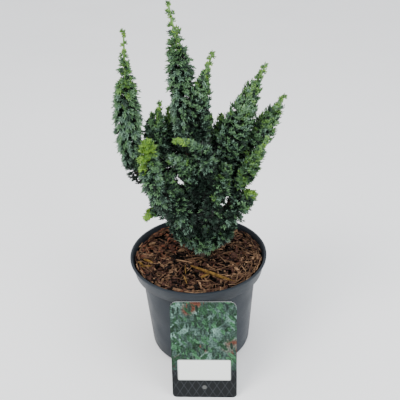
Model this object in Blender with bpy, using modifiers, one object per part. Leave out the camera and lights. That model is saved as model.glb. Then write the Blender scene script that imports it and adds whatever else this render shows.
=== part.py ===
"""Dwarf hinoki cypress of the crinkled kind in a round nursery pot.

A thin-walled pot holds the growing medium.  A short leaning trunk stands on
it and carries one tapering bough to each of the taller masses of foliage;
the low masses sit on the trunk itself.  Every mass is a stem, a denser core
round it and flat sprays that stand out of the core, and keeps to its own
space.  A plant card stands in front and leans on the pot's collar.

Units are metres, +Z is up, the card is on the -Y side, and the origin is the
centre of the pot's underside.
"""

import math
import random
from collections import Counter, namedtuple

import bmesh
import bpy
import numpy as np
from mathutils import Matrix, Quaternion, Vector

# pot
POT_HEIGHT = 0.132
LIP_RADIUS = 0.0845
LIP_BEAD = 0.0012
LIP_BEAD_HEIGHT = 0.0024
COLLAR_HEIGHT = 0.0190
COLLAR_FOOT_RADIUS = 0.0797
BODY_TOP_RADIUS = 0.0715
BODY_FOOT_RADIUS = 0.0643
POT_WALL = 0.0018
FOOT_ROUND = 0.0060
DRAIN_HOLES = 6
DRAIN_RADIUS = 0.0050
DRAIN_RING = 0.0460
DRAIN_SIDES = 8
TURNED_STEPS = 32
SHARP_EDGE = math.radians(30.0)

# growing medium
SOIL_LEVEL = 0.1225

# plant card
CARD_WIDTH = 0.0760
CARD_HEIGHT = 0.1230
CARD_THICKNESS = 0.0006
CARD_TOP_ROUND = 0.0080
CARD_FOOT_ROUND = 0.0050
CARD_ROUND_STEPS = 4
CARD_TOP_HEIGHT = 0.1192
CARD_TURN = math.radians(-3.0)
CARD_CENTRE_X = 0.0022

# trunk and boughs
GAP = 0.0003
TRUNK_FOOT = Vector((0.006, 0.010, SOIL_LEVEL + GAP))
TRUNK_KNEE = Vector((0.006, 0.012, 0.200))
TRUNK_TIP = Vector((-0.011, 0.014, 0.272))
TRUNK_RADIUS = 0.0072
TRUNK_TIP_RADIUS = 0.0022
TRUNK_SIDES = 9
TRUNK_POINTS = 12
FLARE_RADIUS = 0.0115
FLARE_HEIGHT = 0.016
FLARE_LOBES = 3
FLARE_LOBE_DEPTH = 0.12
BOUGH_RADIUS = 0.0034
BOUGH_TIP_RADIUS = 0.0018
BOUGH_POINTS = 7
BOUGH_PULL = 0.2

# foliage
AXIS_POINTS = 60
STEM_RADIUS = 0.0014
STEM_TAPER = 0.6
STEM_STRIDE = 6
TWIG_RADIUS = 0.0010
TWIG_SHARE = 0.55
FULLEST_AT = 0.4
FOOT_FULLNESS = 0.65
TOP_DRAW_IN = 0.58
CORE_SHARE = 0.80
CORE_START = 0.04
CORE_STOP = 0.98
CORE_SIDES = 6
CORE_ROW = 0.015
CORE_LEAST_ROWS = 4
CORE_END_SHARE = 0.45
CORE_TRIES = 12
SPRAY_WIDTH = 0.0060
SPRAY_THICKNESS = 0.0024
BLADE_WIDEST = 0.58
BLADE_SINK = 0.1
SPRAYS_PER_AREA = 12400.0
LOW_RISE = math.radians(-20.0)
HIGH_RISE = math.radians(50.0)
RISE_SPREAD = math.radians(14.0)
LEADER_STEP = 0.0055
LEADER_SPRAY = 0.0115
LEADER_WIDTH = 0.0045
TIP_LENGTH = 0.0060
TIP_WIDTH = 0.0028
ATTEMPTS = 15
THINNING = 0.06
SPACE_MARGIN = 0.0009
LIMB_MARGIN = 0.0015
CORE_MARGIN = 0.0010
GOLDEN_ANGLE = math.radians(137.508)
SEED = 11

# Each row: name; height on the trunk where it starts (None on the trunk's tip); foot of the
# axis, where its bough ends (None where the stem sits on the trunk itself); knee and tip of
# the axis; girth as a radius; length of the bare leader.
Mass = namedtuple("Mass", "name start foot knee tip girth leader")
MASSES = (
    Mass("top_leader", None, (-0.0112, 0.014, 0.2723), (-0.0075, 0.011, 0.352), (-0.021, 0.01, 0.4265),
         0.0185, 0.022),
    Mass("left_column", 0.178, (-0.0732, 0.014, 0.25), (-0.0746, 0.012, 0.316), (-0.0684, 0.01, 0.4),
         0.0190, 0.028),
    Mass("left_shoulder", 0.190, (-0.034, 0.018, 0.234), (-0.051, 0.016, 0.278), (-0.036, 0.014, 0.322),
         0.0185, 0.010),
    Mass("middle_spire", 0.222, (0.006, 0.004, 0.268), (0.0, 0.002, 0.326), (0.0225, 0.0, 0.378),
         0.0150, 0.019),
    Mass("right_spire", 0.198, (0.034, 0.004, 0.244), (0.045, 0.0, 0.3), (0.0775, 0.0, 0.364),
         0.0190, 0.015),
    Mass("right_arm", 0.184, (0.051, 0.006, 0.234), (0.0715, 0.004, 0.288), (0.0995, 0.004, 0.328),
         0.0170, 0.006),
    Mass("right_front_arm", 0.168, (0.041, -0.014, 0.212), (0.0605, -0.018, 0.254), (0.0785, -0.02, 0.29),
         0.0120, 0.010),
    Mass("front_left", 0.166, (-0.033, -0.022, 0.206), (-0.051, -0.033, 0.252), (-0.0495, -0.032, 0.296),
         0.0165, 0.004),
    Mass("front_finger", 0.208, (0.013, -0.022, 0.254), (0.016, -0.044, 0.296), (-0.020, -0.040, 0.299),
         0.0110, 0.003),
    Mass("front_middle", 0.194, None, (0.0, -0.036, 0.274), (-0.026, -0.032, 0.274),
         0.0170, 0.003),
    Mass("low_right", 0.150, (0.031, -0.009, 0.184), (0.049, -0.019, 0.212), (0.065, -0.018, 0.221),
         0.0175, 0.003),
    Mass("low_left", 0.146, (-0.024, 0.004, 0.182), (-0.045, -0.011, 0.212), (-0.059, -0.017, 0.192),
         0.0105, 0.003),
    Mass("low_front_left", 0.152, None, (-0.020, -0.026, 0.190), (-0.028, -0.026, 0.252),
         0.0160, 0.003),
    Mass("low_front_right", 0.156, None, (0.019, -0.022, 0.198), (0.034, -0.018, 0.256),
         0.0180, 0.003),
    Mass("foot_front", 0.140, None, (0.009, -0.018, 0.152), (0.009, -0.020, 0.176),
         0.0160, 0.002),
    Mass("foot_left", 0.138, None, (-0.024, -0.008, 0.156), (-0.030, -0.010, 0.193),
         0.0125, 0.002),
    Mass("foot_right", 0.141, None, (0.033, -0.008, 0.150), (0.042, -0.012, 0.182),
         0.0125, 0.002),
    Mass("right_shoulder", 0.210, (0.022, 0.032, 0.230), (0.034, 0.036, 0.260), (0.031, 0.038, 0.296),
         0.0150, 0.005),
    Mass("back_spire", 0.198, (-0.006, 0.040, 0.236), (-0.018, 0.056, 0.284), (-0.018, 0.058, 0.331),
         0.0150, 0.008),
    Mass("back_middle", 0.166, (0.008, 0.050, 0.196), (0.013, 0.066, 0.242), (0.021, 0.070, 0.284),
         0.0160, 0.006),
    Mass("back_right", 0.176, (0.038, 0.034, 0.204), (0.052, 0.046, 0.236), (0.066, 0.048, 0.293),
         0.0160, 0.008),
    Mass("back_left", 0.158, (-0.026, 0.040, 0.193), (-0.044, 0.056, 0.214), (-0.050, 0.060, 0.261),
         0.0160, 0.006),
    Mass("foot_back", 0.141, None, (0.013, 0.050, 0.152), (0.020, 0.054, 0.194),
         0.0165, 0.004),
    Mass("foot_back_left", 0.146, None, (-0.028, 0.038, 0.158), (-0.034, 0.042, 0.194),
         0.0165, 0.004),
    Mass("back_heart", 0.180, None, (-0.002, 0.038, 0.216), (-0.008, 0.034, 0.258),
         0.0140, 0.003),
    Mass("heart", 0.178, None, (-0.004, -0.004, 0.212), (-0.013, -0.002, 0.252),
         0.0150, 0.003),
    Mass("left_back_shoulder", 0.216, (-0.012, 0.024, 0.23), (-0.025, 0.026, 0.268), (-0.029, 0.026, 0.31),
         0.0160, 0.005),
)


# mesh helpers

def new_object(name, bm, collection):
    """Put a bmesh into a named object, faces outward, and free the bmesh."""
    bmesh.ops.recalc_face_normals(bm, faces=bm.faces[:])
    mesh = bpy.data.meshes.new(name)
    bm.to_mesh(mesh)
    bm.free()
    obj = bpy.data.objects.new(name, mesh)
    collection.objects.link(obj)
    return obj


def material(name, colour, roughness):
    mat = bpy.data.materials.new(name)
    mat.use_nodes = True
    shader = mat.node_tree.nodes["Principled BSDF"]
    shader.inputs["Base Color"].default_value = (*colour, 1.0)
    shader.inputs["Roughness"].default_value = roughness
    shader.inputs["Metallic"].default_value = 0.0
    return mat


def evaluated_mesh(obj):
    bpy.context.view_layer.update()
    graph = bpy.context.evaluated_depsgraph_get()
    return bpy.data.meshes.new_from_object(obj.evaluated_get(graph))


def apply_modifiers(obj):
    """Keep the shape that the modifiers give as the object's own mesh."""
    mesh = evaluated_mesh(obj)
    old = obj.data
    obj.modifiers.clear()
    obj.data = mesh
    bpy.data.meshes.remove(old)


def boolean(obj, collection, operation):
    """Join or cut with every object of a collection, applied at once."""
    step = obj.modifiers.new(operation.lower(), "BOOLEAN")
    step.operation = operation
    step.operand_type = "COLLECTION"
    step.collection = collection
    step.solver = "EXACT"
    apply_modifiers(obj)


def cut_clear(obj, limb, bits):
    """Cut one limb, grown by the gap, out of an object."""
    bits.objects.link(limb)
    boolean(obj, bits, "DIFFERENCE")
    bits.objects.unlink(limb)


def remove_objects(objects):
    for obj in list(objects):
        bpy.data.objects.remove(obj)


def keep_main_body(obj):
    """Only the largest shell stays, in triangles, without those folded flat on each other."""
    bm = bmesh.new()
    bm.from_mesh(obj.data)
    shells = []
    unseen = set(bm.faces)
    while unseen:
        shell = [unseen.pop()]
        for face in shell:
            for edge in face.edges:
                for other in edge.link_faces:
                    if other in unseen:
                        unseen.remove(other)
                        shell.append(other)
        shells.append(shell)
    shells.sort(key=lambda shell: sum(face.calc_area() for face in shell))
    scraps = [face for shell in shells[:-1] for face in shell]
    bmesh.ops.delete(bm, geom=scraps, context="FACES")
    bmesh.ops.triangulate(bm, faces=bm.faces[:])
    corners = Counter(frozenset(face.verts) for face in bm.faces)
    folded = [face for face in bm.faces if corners[frozenset(face.verts)] > 1]
    bmesh.ops.delete(bm, geom=folded, context="FACES")
    bm.to_mesh(obj.data)
    bm.free()


# curves in space

def bezier(foot, knee, tip, count):
    """Points of a quadratic curve from foot to tip, pulled towards the knee."""
    foot, knee, tip = Vector(foot), Vector(knee), Vector(tip)
    points = []
    for step in range(count):
        t = step / (count - 1)
        points.append((1 - t) ** 2 * foot + 2 * t * (1 - t) * knee + t * t * tip)
    return points


def frames(points):
    """A turning frame carried along the points without twist: tangent and two normals."""
    tangents = []
    for before, after in zip([points[0], *points[:-1]], [*points[1:], points[-1]]):
        tangents.append((after - before).normalized())
    normal = tangents[0].orthogonal().normalized()
    result = []
    for tangent in tangents:
        normal = (normal - normal.dot(tangent) * tangent).normalized()
        result.append((tangent, normal, tangent.cross(normal)))
    return result


def loft(bm, rings):
    """A closed skin of triangles through rings of equal count, drawn from ring to ring."""
    verts = bmesh.ops.create_circle(bm, cap_ends=False, segments=len(rings[0]), radius=1.0)["verts"]
    edges = list({edge for vert in verts for edge in vert.link_edges})
    for vert, place in zip(verts, rings[0]):
        vert.co = place
    for ring in rings[1:]:
        grown = bmesh.ops.extrude_edge_only(bm, edges=edges)["geom"]
        fresh = {item for item in grown if isinstance(item, bmesh.types.BMVert)}
        verts = [next(edge.other_vert(vert) for edge in vert.link_edges if edge.other_vert(vert) in fresh)
                 for vert in verts]
        edges = [item for item in grown
                 if isinstance(item, bmesh.types.BMEdge) and fresh.issuperset(item.verts)]
        for vert, place in zip(verts, ring):
            vert.co = place
    bmesh.ops.holes_fill(bm, edges=bm.edges[:], sides=0)
    bmesh.ops.triangulate(bm, faces=bm.faces[:])


def round_rings(points, radii, sides):
    rings = []
    for point, radius, (_, normal, across) in zip(points, radii, frames(points)):
        ring = []
        for side in range(sides):
            angle = math.tau * side / sides
            ring.append(point + radius * (math.cos(angle) * normal + math.sin(angle) * across))
        rings.append(ring)
    return rings


# pot, growing medium and card

def arc(centre_x, centre_z, radius, start, end, steps):
    """Points on a round stretch of a turned profile, angles in degrees."""
    points = []
    for step in range(steps + 1):
        angle = math.radians(start + (end - start) * step / steps)
        points.append((centre_x + radius * math.cos(angle), centre_z + radius * math.sin(angle)))
    return points


def turned(name, profile, collection):
    """Turn a profile of (radius, height) points about the upright axis."""
    mesh = bpy.data.meshes.new(name)
    bm = bmesh.new()
    verts = [bm.verts.new((x, 0.0, z)) for x, z in profile]
    for first, second in zip(verts, verts[1:]):
        bm.edges.new((first, second))
    bm.to_mesh(mesh)
    bm.free()
    obj = bpy.data.objects.new(name, mesh)
    collection.objects.link(obj)
    screw = obj.modifiers.new("turn", "SCREW")
    screw.axis = "Z"
    screw.steps = TURNED_STEPS
    screw.render_steps = TURNED_STEPS
    screw.use_merge_vertices = True
    screw.merge_threshold = 0.00001
    apply_modifiers(obj)
    obj.data.shade_smooth()
    obj.data.set_sharp_from_angle(angle=SHARP_EDGE)
    return obj


def collar_radius(height):
    """The collar's outer radius at a height above the ground."""
    share = (height - (POT_HEIGHT - COLLAR_HEIGHT)) / COLLAR_HEIGHT
    return COLLAR_FOOT_RADIUS + share * (LIP_RADIUS - LIP_BEAD - COLLAR_FOOT_RADIUS)


def body_radius(height):
    """The body's outer radius below the collar."""
    share = height / (POT_HEIGHT - COLLAR_HEIGHT)
    return BODY_FOOT_RADIUS + share * (BODY_TOP_RADIUS - BODY_FOOT_RADIUS)


def inner_profile(inset):
    """The pot's inside from the collar's step down to the middle of its floor, by the inset."""
    step = POT_HEIGHT - COLLAR_HEIGHT + inset
    floor_edge = body_radius(inset + FOOT_ROUND) - inset
    profile = [(collar_radius(step) - inset, step), (body_radius(step) - inset, step)]
    profile += arc(floor_edge - FOOT_ROUND, inset + FOOT_ROUND, FOOT_ROUND, 0, -90, 2)
    return profile + [(0.0, inset)]


def make_pot(collection, cutters):
    """Thin shell with a flared collar; the collar's step shows inside and out."""
    step = POT_HEIGHT - COLLAR_HEIGHT
    bead_foot = POT_HEIGHT - LIP_BEAD_HEIGHT
    profile = [*reversed(inner_profile(POT_WALL)), (collar_radius(POT_HEIGHT) - POT_WALL, POT_HEIGHT)]
    profile += [
        (LIP_RADIUS - LIP_BEAD / 2, POT_HEIGHT),
        (LIP_RADIUS, POT_HEIGHT - LIP_BEAD / 2),
        (LIP_RADIUS, bead_foot),
        (collar_radius(bead_foot), bead_foot),
        (COLLAR_FOOT_RADIUS, step),
        (body_radius(step), step),
    ]
    profile += arc(body_radius(0.0) - FOOT_ROUND, FOOT_ROUND, FOOT_ROUND, 0, -90, 3)
    profile += [(0.0, 0.0)]
    pot = turned("pot", profile, collection)
    for hole in range(DRAIN_HOLES):
        angle = math.tau * (hole + 0.5) / DRAIN_HOLES
        place = Vector((DRAIN_RING * math.cos(angle), DRAIN_RING * math.sin(angle), 0.0))
        bm = bmesh.new()
        bmesh.ops.create_cone(bm, cap_ends=True, segments=DRAIN_SIDES, radius1=DRAIN_RADIUS,
                              radius2=DRAIN_RADIUS, depth=6.0 * POT_WALL, matrix=Matrix.Translation(place))
        new_object(f"drain_cutter_{hole + 1}", bm, cutters)
    boolean(pot, cutters, "DIFFERENCE")
    remove_objects(cutters.objects)
    pot.data.materials.append(material("pot_plastic", (0.055, 0.066, 0.078), 0.45))
    return pot


def make_growing_medium(collection):
    """The root ball with its mulch: it fills the pot, a gap clear of the wall and floor."""
    inset = POT_WALL + GAP
    profile = [(0.0, SOIL_LEVEL), (collar_radius(SOIL_LEVEL) - inset, SOIL_LEVEL), *inner_profile(inset)]
    medium = turned("growing_medium", profile, collection)
    medium.data.materials.append(material("bark_mulch", (0.16, 0.075, 0.045), 0.9))
    return medium


def make_card(collection):
    """A flat plastic card with round corners; its back leans on the collar."""
    curve = bpy.data.curves.new("plant_card", "CURVE")
    curve.dimensions = "2D"
    curve.fill_mode = "BOTH"
    curve.extrude = CARD_THICKNESS / 2
    half = CARD_WIDTH / 2
    corners = (
        (half - CARD_FOOT_ROUND, CARD_FOOT_ROUND, CARD_FOOT_ROUND, -90),
        (half - CARD_TOP_ROUND, CARD_HEIGHT - CARD_TOP_ROUND, CARD_TOP_ROUND, 0),
        (-half + CARD_TOP_ROUND, CARD_HEIGHT - CARD_TOP_ROUND, CARD_TOP_ROUND, 90),
        (-half + CARD_FOOT_ROUND, CARD_FOOT_ROUND, CARD_FOOT_ROUND, 180),
    )
    outline = [point for x, y, radius, start in corners
               for point in arc(x, y, radius, start, start + 90, CARD_ROUND_STEPS)]
    spline = curve.splines.new("POLY")
    spline.points.add(len(outline) - 1)
    for point, (x, y) in zip(spline.points, outline):
        point.co = (x, y, 0.0, 1.0)
    spline.use_cyclic_u = True
    card = bpy.data.objects.new("plant_card", curve)
    collection.objects.link(card)
    lean = math.asin(CARD_TOP_HEIGHT / CARD_HEIGHT)
    back_top = -(collar_radius(CARD_TOP_HEIGHT) + GAP) - CARD_THICKNESS
    foot_y = back_top - CARD_HEIGHT * math.cos(lean)
    lift = CARD_THICKNESS / 2 * math.cos(lean)
    card.location = (CARD_CENTRE_X, foot_y, lift)
    card.rotation_euler = (lean, 0.0, CARD_TURN)
    curve.materials.append(material("card_plastic", (0.20, 0.30, 0.22), 0.35))
    return card


# trunk and boughs

def flare(height):
    """One at the soil, falling to nought at the top of the root flare."""
    return max(0.0, 1.0 - (height - TRUNK_FOOT.z) / FLARE_HEIGHT)


def trunk_radius(height):
    """True taper, with a flare that dies away just over the soil."""
    share = (height - TRUNK_FOOT.z) / (TRUNK_TIP.z - TRUNK_FOOT.z)
    radius = TRUNK_RADIUS + share * (TRUNK_TIP_RADIUS - TRUNK_RADIUS)
    return radius + (FLARE_RADIUS - TRUNK_RADIUS) * flare(height) ** 2


def trunk_rings(extra):
    """Rings of the trunk, level at the foot, lobed in the flare, grown by the extra."""
    points = bezier(TRUNK_FOOT, TRUNK_KNEE, TRUNK_TIP, TRUNK_POINTS)
    points[1:1] = [TRUNK_FOOT.lerp(points[1], share) for share in (0.25, 0.6)]
    rings = []
    for point, (_, normal, across) in zip(points, frames(points)):
        if point is points[0]:
            normal, across = Vector((1.0, 0.0, 0.0)), Vector((0.0, 1.0, 0.0))
        ring = []
        for side in range(TRUNK_SIDES):
            angle = math.tau * side / TRUNK_SIDES
            lobe = 1.0 + FLARE_LOBE_DEPTH * flare(point.z) * math.cos(FLARE_LOBES * angle)
            reach = trunk_radius(point.z) * lobe + extra
            ring.append(point + reach * (math.cos(angle) * normal + math.sin(angle) * across))
        rings.append(ring)
    return rings


def trunk_point(height):
    """The trunk's axis at a height."""
    points = bezier(TRUNK_FOOT, TRUNK_KNEE, TRUNK_TIP, AXIS_POINTS)
    return min(points, key=lambda point: abs(point.z - height))


def has_bough(mass):
    return mass.start is not None and mass.foot is not None


def axis_points(mass):
    """The axis of a mass; one that sits on the trunk starts at the trunk's own axis."""
    foot = trunk_point(mass.start) if mass.foot is None else mass.foot
    return bezier(foot, mass.knee, mass.tip, AXIS_POINTS)


def bough_path(mass):
    """From the trunk's axis out and up to the foot of the mass, ending along its axis."""
    root = trunk_point(mass.start)
    foot = Vector(mass.foot)
    heading = (Vector(mass.knee) - foot).normalized()
    end = foot - GAP * heading
    pull = end - BOUGH_PULL * (end - root).length * heading
    return bezier(root, pull, end, BOUGH_POINTS)


def bough_radius(share):
    return BOUGH_RADIUS + share * (BOUGH_TIP_RADIUS - BOUGH_RADIUS)


def limb_object(name, points, extra, collection):
    """One tapering limb as a welded mesh made from a bevelled curve."""
    curve = bpy.data.curves.new(name, "CURVE")
    curve.dimensions = "3D"
    curve.bevel_depth = BOUGH_RADIUS
    curve.bevel_resolution = 1
    curve.use_fill_caps = True
    spline = curve.splines.new("POLY")
    spline.points.add(len(points) - 1)
    for index, (point, place) in enumerate(zip(spline.points, points)):
        point.co = (*place, 1.0)
        point.radius = (bough_radius(index / (len(points) - 1)) + extra) / BOUGH_RADIUS
    guide = bpy.data.objects.new(name + "_guide", curve)
    collection.objects.link(guide)
    mesh = evaluated_mesh(guide)
    bpy.data.objects.remove(guide)
    bpy.data.curves.remove(curve)
    bm = bmesh.new()
    bm.from_mesh(mesh)
    bpy.data.meshes.remove(mesh)
    bmesh.ops.remove_doubles(bm, verts=bm.verts[:], dist=1e-5)
    bmesh.ops.triangulate(bm, faces=bm.faces[:])
    return new_object(name, bm, collection)


def make_trunk(collection):
    bm = bmesh.new()
    loft(bm, trunk_rings(0.0))
    trunk = new_object("trunk", bm, collection)
    trunk.data.shade_smooth()
    return trunk


def make_trunk_clearance(collection):
    """The trunk grown by the gap, for cutting what meets it."""
    bm = bmesh.new()
    loft(bm, trunk_rings(GAP))
    return new_object("trunk_clearance", bm, collection)


# foliage

def girth_share(share):
    """Outline of a mass along its dense part: full low down, drawn in at the top."""
    if share < FULLEST_AT:
        return FOOT_FULLNESS + (1.0 - FOOT_FULLNESS) * math.sin(math.pi / 2 * share / FULLEST_AT)
    return 1.0 - TOP_DRAW_IN * ((share - FULLEST_AT) / (1.0 - FULLEST_AT)) ** 1.6


class Space:
    """Splits the crown between the masses and keeps them off the limbs and soil.

    A point belongs to the mass whose axis is nearest in lengths of that mass's girth.
    """

    def __init__(self, masses, limbs):
        self.axes = np.array([axis_points(mass) for mass in masses])
        self.girths = np.array([mass.girth for mass in masses])
        self.limb_points = np.array([point for limb in limbs for point, _ in limb])
        self.limb_radii = np.array([radius for limb in limbs for _, radius in limb])

    def owned(self, points, index, margin):
        """True for each point that lies in the mass's own space, by the margin."""
        points = np.asarray(points)
        away = np.linalg.norm(points[:, None, None, :] - self.axes[None], axis=3).min(axis=2)
        near = away / self.girths
        need = margin * (1.0 / self.girths + 1.0 / self.girths[index])
        lead = near - near[:, index:index + 1] - need
        lead[:, index] = 1.0
        return (lead > 0.0).all(axis=1) & (points[:, 2] > SOIL_LEVEL + 2 * margin)

    def clear_of_limbs(self, points):
        """True where every point is outside the trunk and the boughs, with room for a twig."""
        away = np.linalg.norm(np.asarray(points)[:, None, :] - self.limb_points[None], axis=2)
        return (away > self.limb_radii + LIMB_MARGIN).all()


class Axis:
    """The axis of a mass with the frame along it and the length of its dense part."""

    def __init__(self, mass):
        self.points = axis_points(mass)
        self.frames = frames(self.points)
        runs = [(b - a).length for a, b in zip(self.points, self.points[1:])]
        self.lengths = np.cumsum([0.0] + runs)
        self.dense = self.lengths[-1] - mass.leader

    def at(self, length):
        """The point, its tangent and its two normals at a length from the foot."""
        index = min(len(self.points) - 1, int(np.searchsorted(self.lengths, length)))
        return self.points[index], *self.frames[index]


def make_stem(mass, axis, collection):
    """The three-sided stem along the whole axis; it becomes the body of the mass."""
    points = axis.points[::STEM_STRIDE] + [axis.points[-1]]
    radii = [STEM_RADIUS * (1.0 - STEM_TAPER * step / (len(points) - 1)) for step in range(len(points))]
    bm = bmesh.new()
    loft(bm, round_rings(points, radii, 3))
    return new_object("foliage_" + mass.name, bm, collection)


def make_core(mass, index, axis, space, rng, collection):
    """A lumpy, slimmer copy of the outline that keeps inside the mass's own space."""
    count = max(CORE_LEAST_ROWS, round(axis.dense / CORE_ROW))
    rings = []
    for row in range(count + 1):
        share = CORE_START + (CORE_STOP - CORE_START) * row / count
        point, _, normal, across = axis.at(share * axis.dense)
        full = CORE_SHARE * mass.girth * girth_share(share)
        if row in (0, count):
            full *= CORE_END_SHARE
        ring = []
        for side in range(CORE_SIDES):
            angle = math.tau * (side + 0.5 * (row % 2)) / CORE_SIDES
            out = math.cos(angle) * normal + math.sin(angle) * across
            reach = full * rng.uniform(0.88, 1.12)
            tries = [point + out * reach * (1.0 - cut / CORE_TRIES) for cut in range(CORE_TRIES)]
            good = space.owned(tries, index, CORE_MARGIN)
            good[-1] = True
            ring.append(tries[int(np.argmax(good))])
        rings.append(ring)
    bm = bmesh.new()
    loft(bm, rings)
    return new_object("core", bm, collection)


def make_twig(start, end, collection):
    """A three-sided twig from the stem's axis out to where its blade spreads."""
    run = end - start
    turn = run.to_track_quat("Z", "Y").to_matrix().to_4x4()
    bm = bmesh.new()
    bmesh.ops.create_cone(bm, cap_ends=True, segments=3, radius1=TWIG_RADIUS, radius2=0.7 * TWIG_RADIUS,
                          depth=run.length, matrix=Matrix.Translation((start + end) / 2) @ turn)
    return new_object("twig", bm, collection)


class Blade:
    """One spray as a blade of six faces, flat above with a keel below, widest near its tip."""

    def __init__(self, root, heading, side, length, width):
        self.root = root
        self.heading = heading.normalized()
        self.side = (side - side.dot(self.heading) * self.heading).normalized()
        self.length = length
        self.width = width

    def outline(self):
        """Points round its free part, for the space tests."""
        middle = self.root + BLADE_WIDEST * self.length * self.heading
        half = 0.5 * self.width * self.side
        far = [self.root + share * self.length * self.heading for share in (0.75, 1.0)]
        return [middle - half, middle, middle + half, *far]

    def make(self, collection):
        """The solid, with its root sunk a little past its starting point."""
        bm = bmesh.new()
        bmesh.ops.create_uvsphere(bm, u_segments=3, v_segments=2, radius=1.0)
        thick = self.heading.cross(self.side)
        spread = 0.5 * self.width / math.sin(math.tau / 3)
        places = {1: 1.0, 0: BLADE_WIDEST, -1: -BLADE_SINK}
        for vert in bm.verts:
            along = places[round(vert.co.z)] * self.length
            vert.co = (self.root + along * self.heading + spread * vert.co.y * self.side
                       + 0.5 * SPRAY_THICKNESS * vert.co.x * thick)
        return new_object("spray", bm, collection)


def grow_sprays(mass, axis, fits, rng, thinned, collection):
    """Twigs with blades all round the dense part, a golden angle apart."""
    count = round(thinned * SPRAYS_PER_AREA * axis.dense * mass.girth)
    for spray in range(count):
        share = (spray + rng.uniform(0.2, 0.8)) / count
        point, tangent, normal, across = axis.at(share * axis.dense)
        angle = spray * GOLDEN_ANGLE + rng.uniform(-0.3, 0.3)
        out = math.cos(angle) * normal + math.sin(angle) * across
        reach = mass.girth * girth_share(share) * rng.uniform(1.0, 1.16)
        root = point + TWIG_SHARE * reach * out
        rise = LOW_RISE + (HIGH_RISE - LOW_RISE) * share + RISE_SPREAD * rng.uniform(-1.0, 1.0)
        heading = math.cos(rise) * out + math.sin(rise) * tangent
        flat = Quaternion(heading, rng.uniform(-0.7, 0.7)) @ tangent.cross(out)
        length = (1.0 - TWIG_SHARE) * reach / max(0.7, math.cos(rise))
        blade = Blade(root, heading, flat, length, SPRAY_WIDTH)
        twig_points = [point.lerp(root, step / 4) for step in range(5)]
        if fits(twig_points + blade.outline()):
            make_twig(point, root, collection)
            blade.make(collection)


def grow_leader(mass, axis, fits, rng, collection):
    """Short blades along the bare leader, smaller towards its end, and one at the tip."""
    count = round(mass.leader / LEADER_STEP)
    for step in range(count):
        share = (step + 0.5) / count
        point, tangent, normal, across = axis.at(axis.dense + share * mass.leader)
        angle = step * GOLDEN_ANGLE + rng.uniform(-0.3, 0.3)
        out = math.cos(angle) * normal + math.sin(angle) * across
        length = LEADER_SPRAY * (1.0 - 0.5 * share)
        blade = Blade(point, out + 0.6 * tangent, tangent.cross(out), length, LEADER_WIDTH)
        if fits(blade.outline()):
            blade.make(collection)
    tip, tangent, normal, _ = axis.at(axis.lengths[-1])
    blade = Blade(tip - 0.5 * TIP_LENGTH * tangent, tangent, normal, TIP_LENGTH, TIP_WIDTH)
    if fits(blade.outline()):
        blade.make(collection)


def grow_once(mass, index, space, clearances, collection, bits, rng, thinned):
    """Stem, core, twigs and blades of one mass, joined into one solid."""
    axis = Axis(mass)
    body = make_stem(mass, axis, collection)
    make_core(mass, index, axis, space, rng, bits)
    boolean(body, bits, "UNION")
    remove_objects(bits.objects)
    for limb in clearances:
        if boxes_meet(body, limb):
            cut_clear(body, limb, bits)

    def fits(points):
        return space.owned(points, index, SPACE_MARGIN).all() and space.clear_of_limbs(points)

    grow_sprays(mass, axis, fits, rng, thinned, bits)
    grow_leader(mass, axis, fits, rng, bits)
    boolean(body, bits, "UNION")
    remove_objects(bits.objects)
    keep_main_body(body)
    return body


def is_closed(obj):
    """True where each edge of the mesh has exactly two faces."""
    bm = bmesh.new()
    bm.from_mesh(obj.data)
    closed = all(len(edge.link_faces) == 2 for edge in bm.edges)
    bm.free()
    return closed


def grow_mass(mass, index, space, clearances, collection, bits):
    """Grow a mass from its seed, and thinner from the next where its blades pinch an edge."""
    for attempt in range(ATTEMPTS):
        rng = random.Random(SEED + 100 * index + attempt)
        thinned = 1.0 - THINNING * attempt
        body = grow_once(mass, index, space, clearances, collection, bits, rng, thinned)
        if is_closed(body):
            return body
        bpy.data.objects.remove(body)
    raise RuntimeError(f"no clean joint for {mass.name}")


def boxes_meet(first, second):
    """True where the boxes round two meshes overlap."""
    spans = []
    for obj in (first, second):
        corners = np.array([vert.co[:] for vert in obj.data.vertices])
        spans.append((corners.min(axis=0), corners.max(axis=0)))
    (low_a, high_a), (low_b, high_b) = spans
    return bool((low_a < high_b).all() and (low_b < high_a).all())


def limb_spheres():
    """Every limb as points with radii along its axis, for distance tests."""
    axis = bezier(TRUNK_FOOT, TRUNK_KNEE, TRUNK_TIP, AXIS_POINTS)
    limbs = [[(point, trunk_radius(point.z)) for point in axis]]
    for mass in MASSES:
        if has_bough(mass):
            path = bough_path(mass)
            fine = [a.lerp(b, step / 4) for a, b in zip(path, path[1:]) for step in range(4)] + [path[-1]]
            limbs.append([(point, bough_radius(at / (len(fine) - 1))) for at, point in enumerate(fine)])
    return limbs


def make_bough(mass, clearance, collection, bits):
    """One tapering bough, cut clear of the trunk that it leaves."""
    bough = limb_object("bough_" + mass.name, bough_path(mass), 0.0, collection)
    cut_clear(bough, clearance, bits)
    keep_main_body(bough)
    return bough


def colour(objects, mat):
    for obj in objects:
        obj.data.materials.clear()
        obj.data.materials.append(mat)


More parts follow.
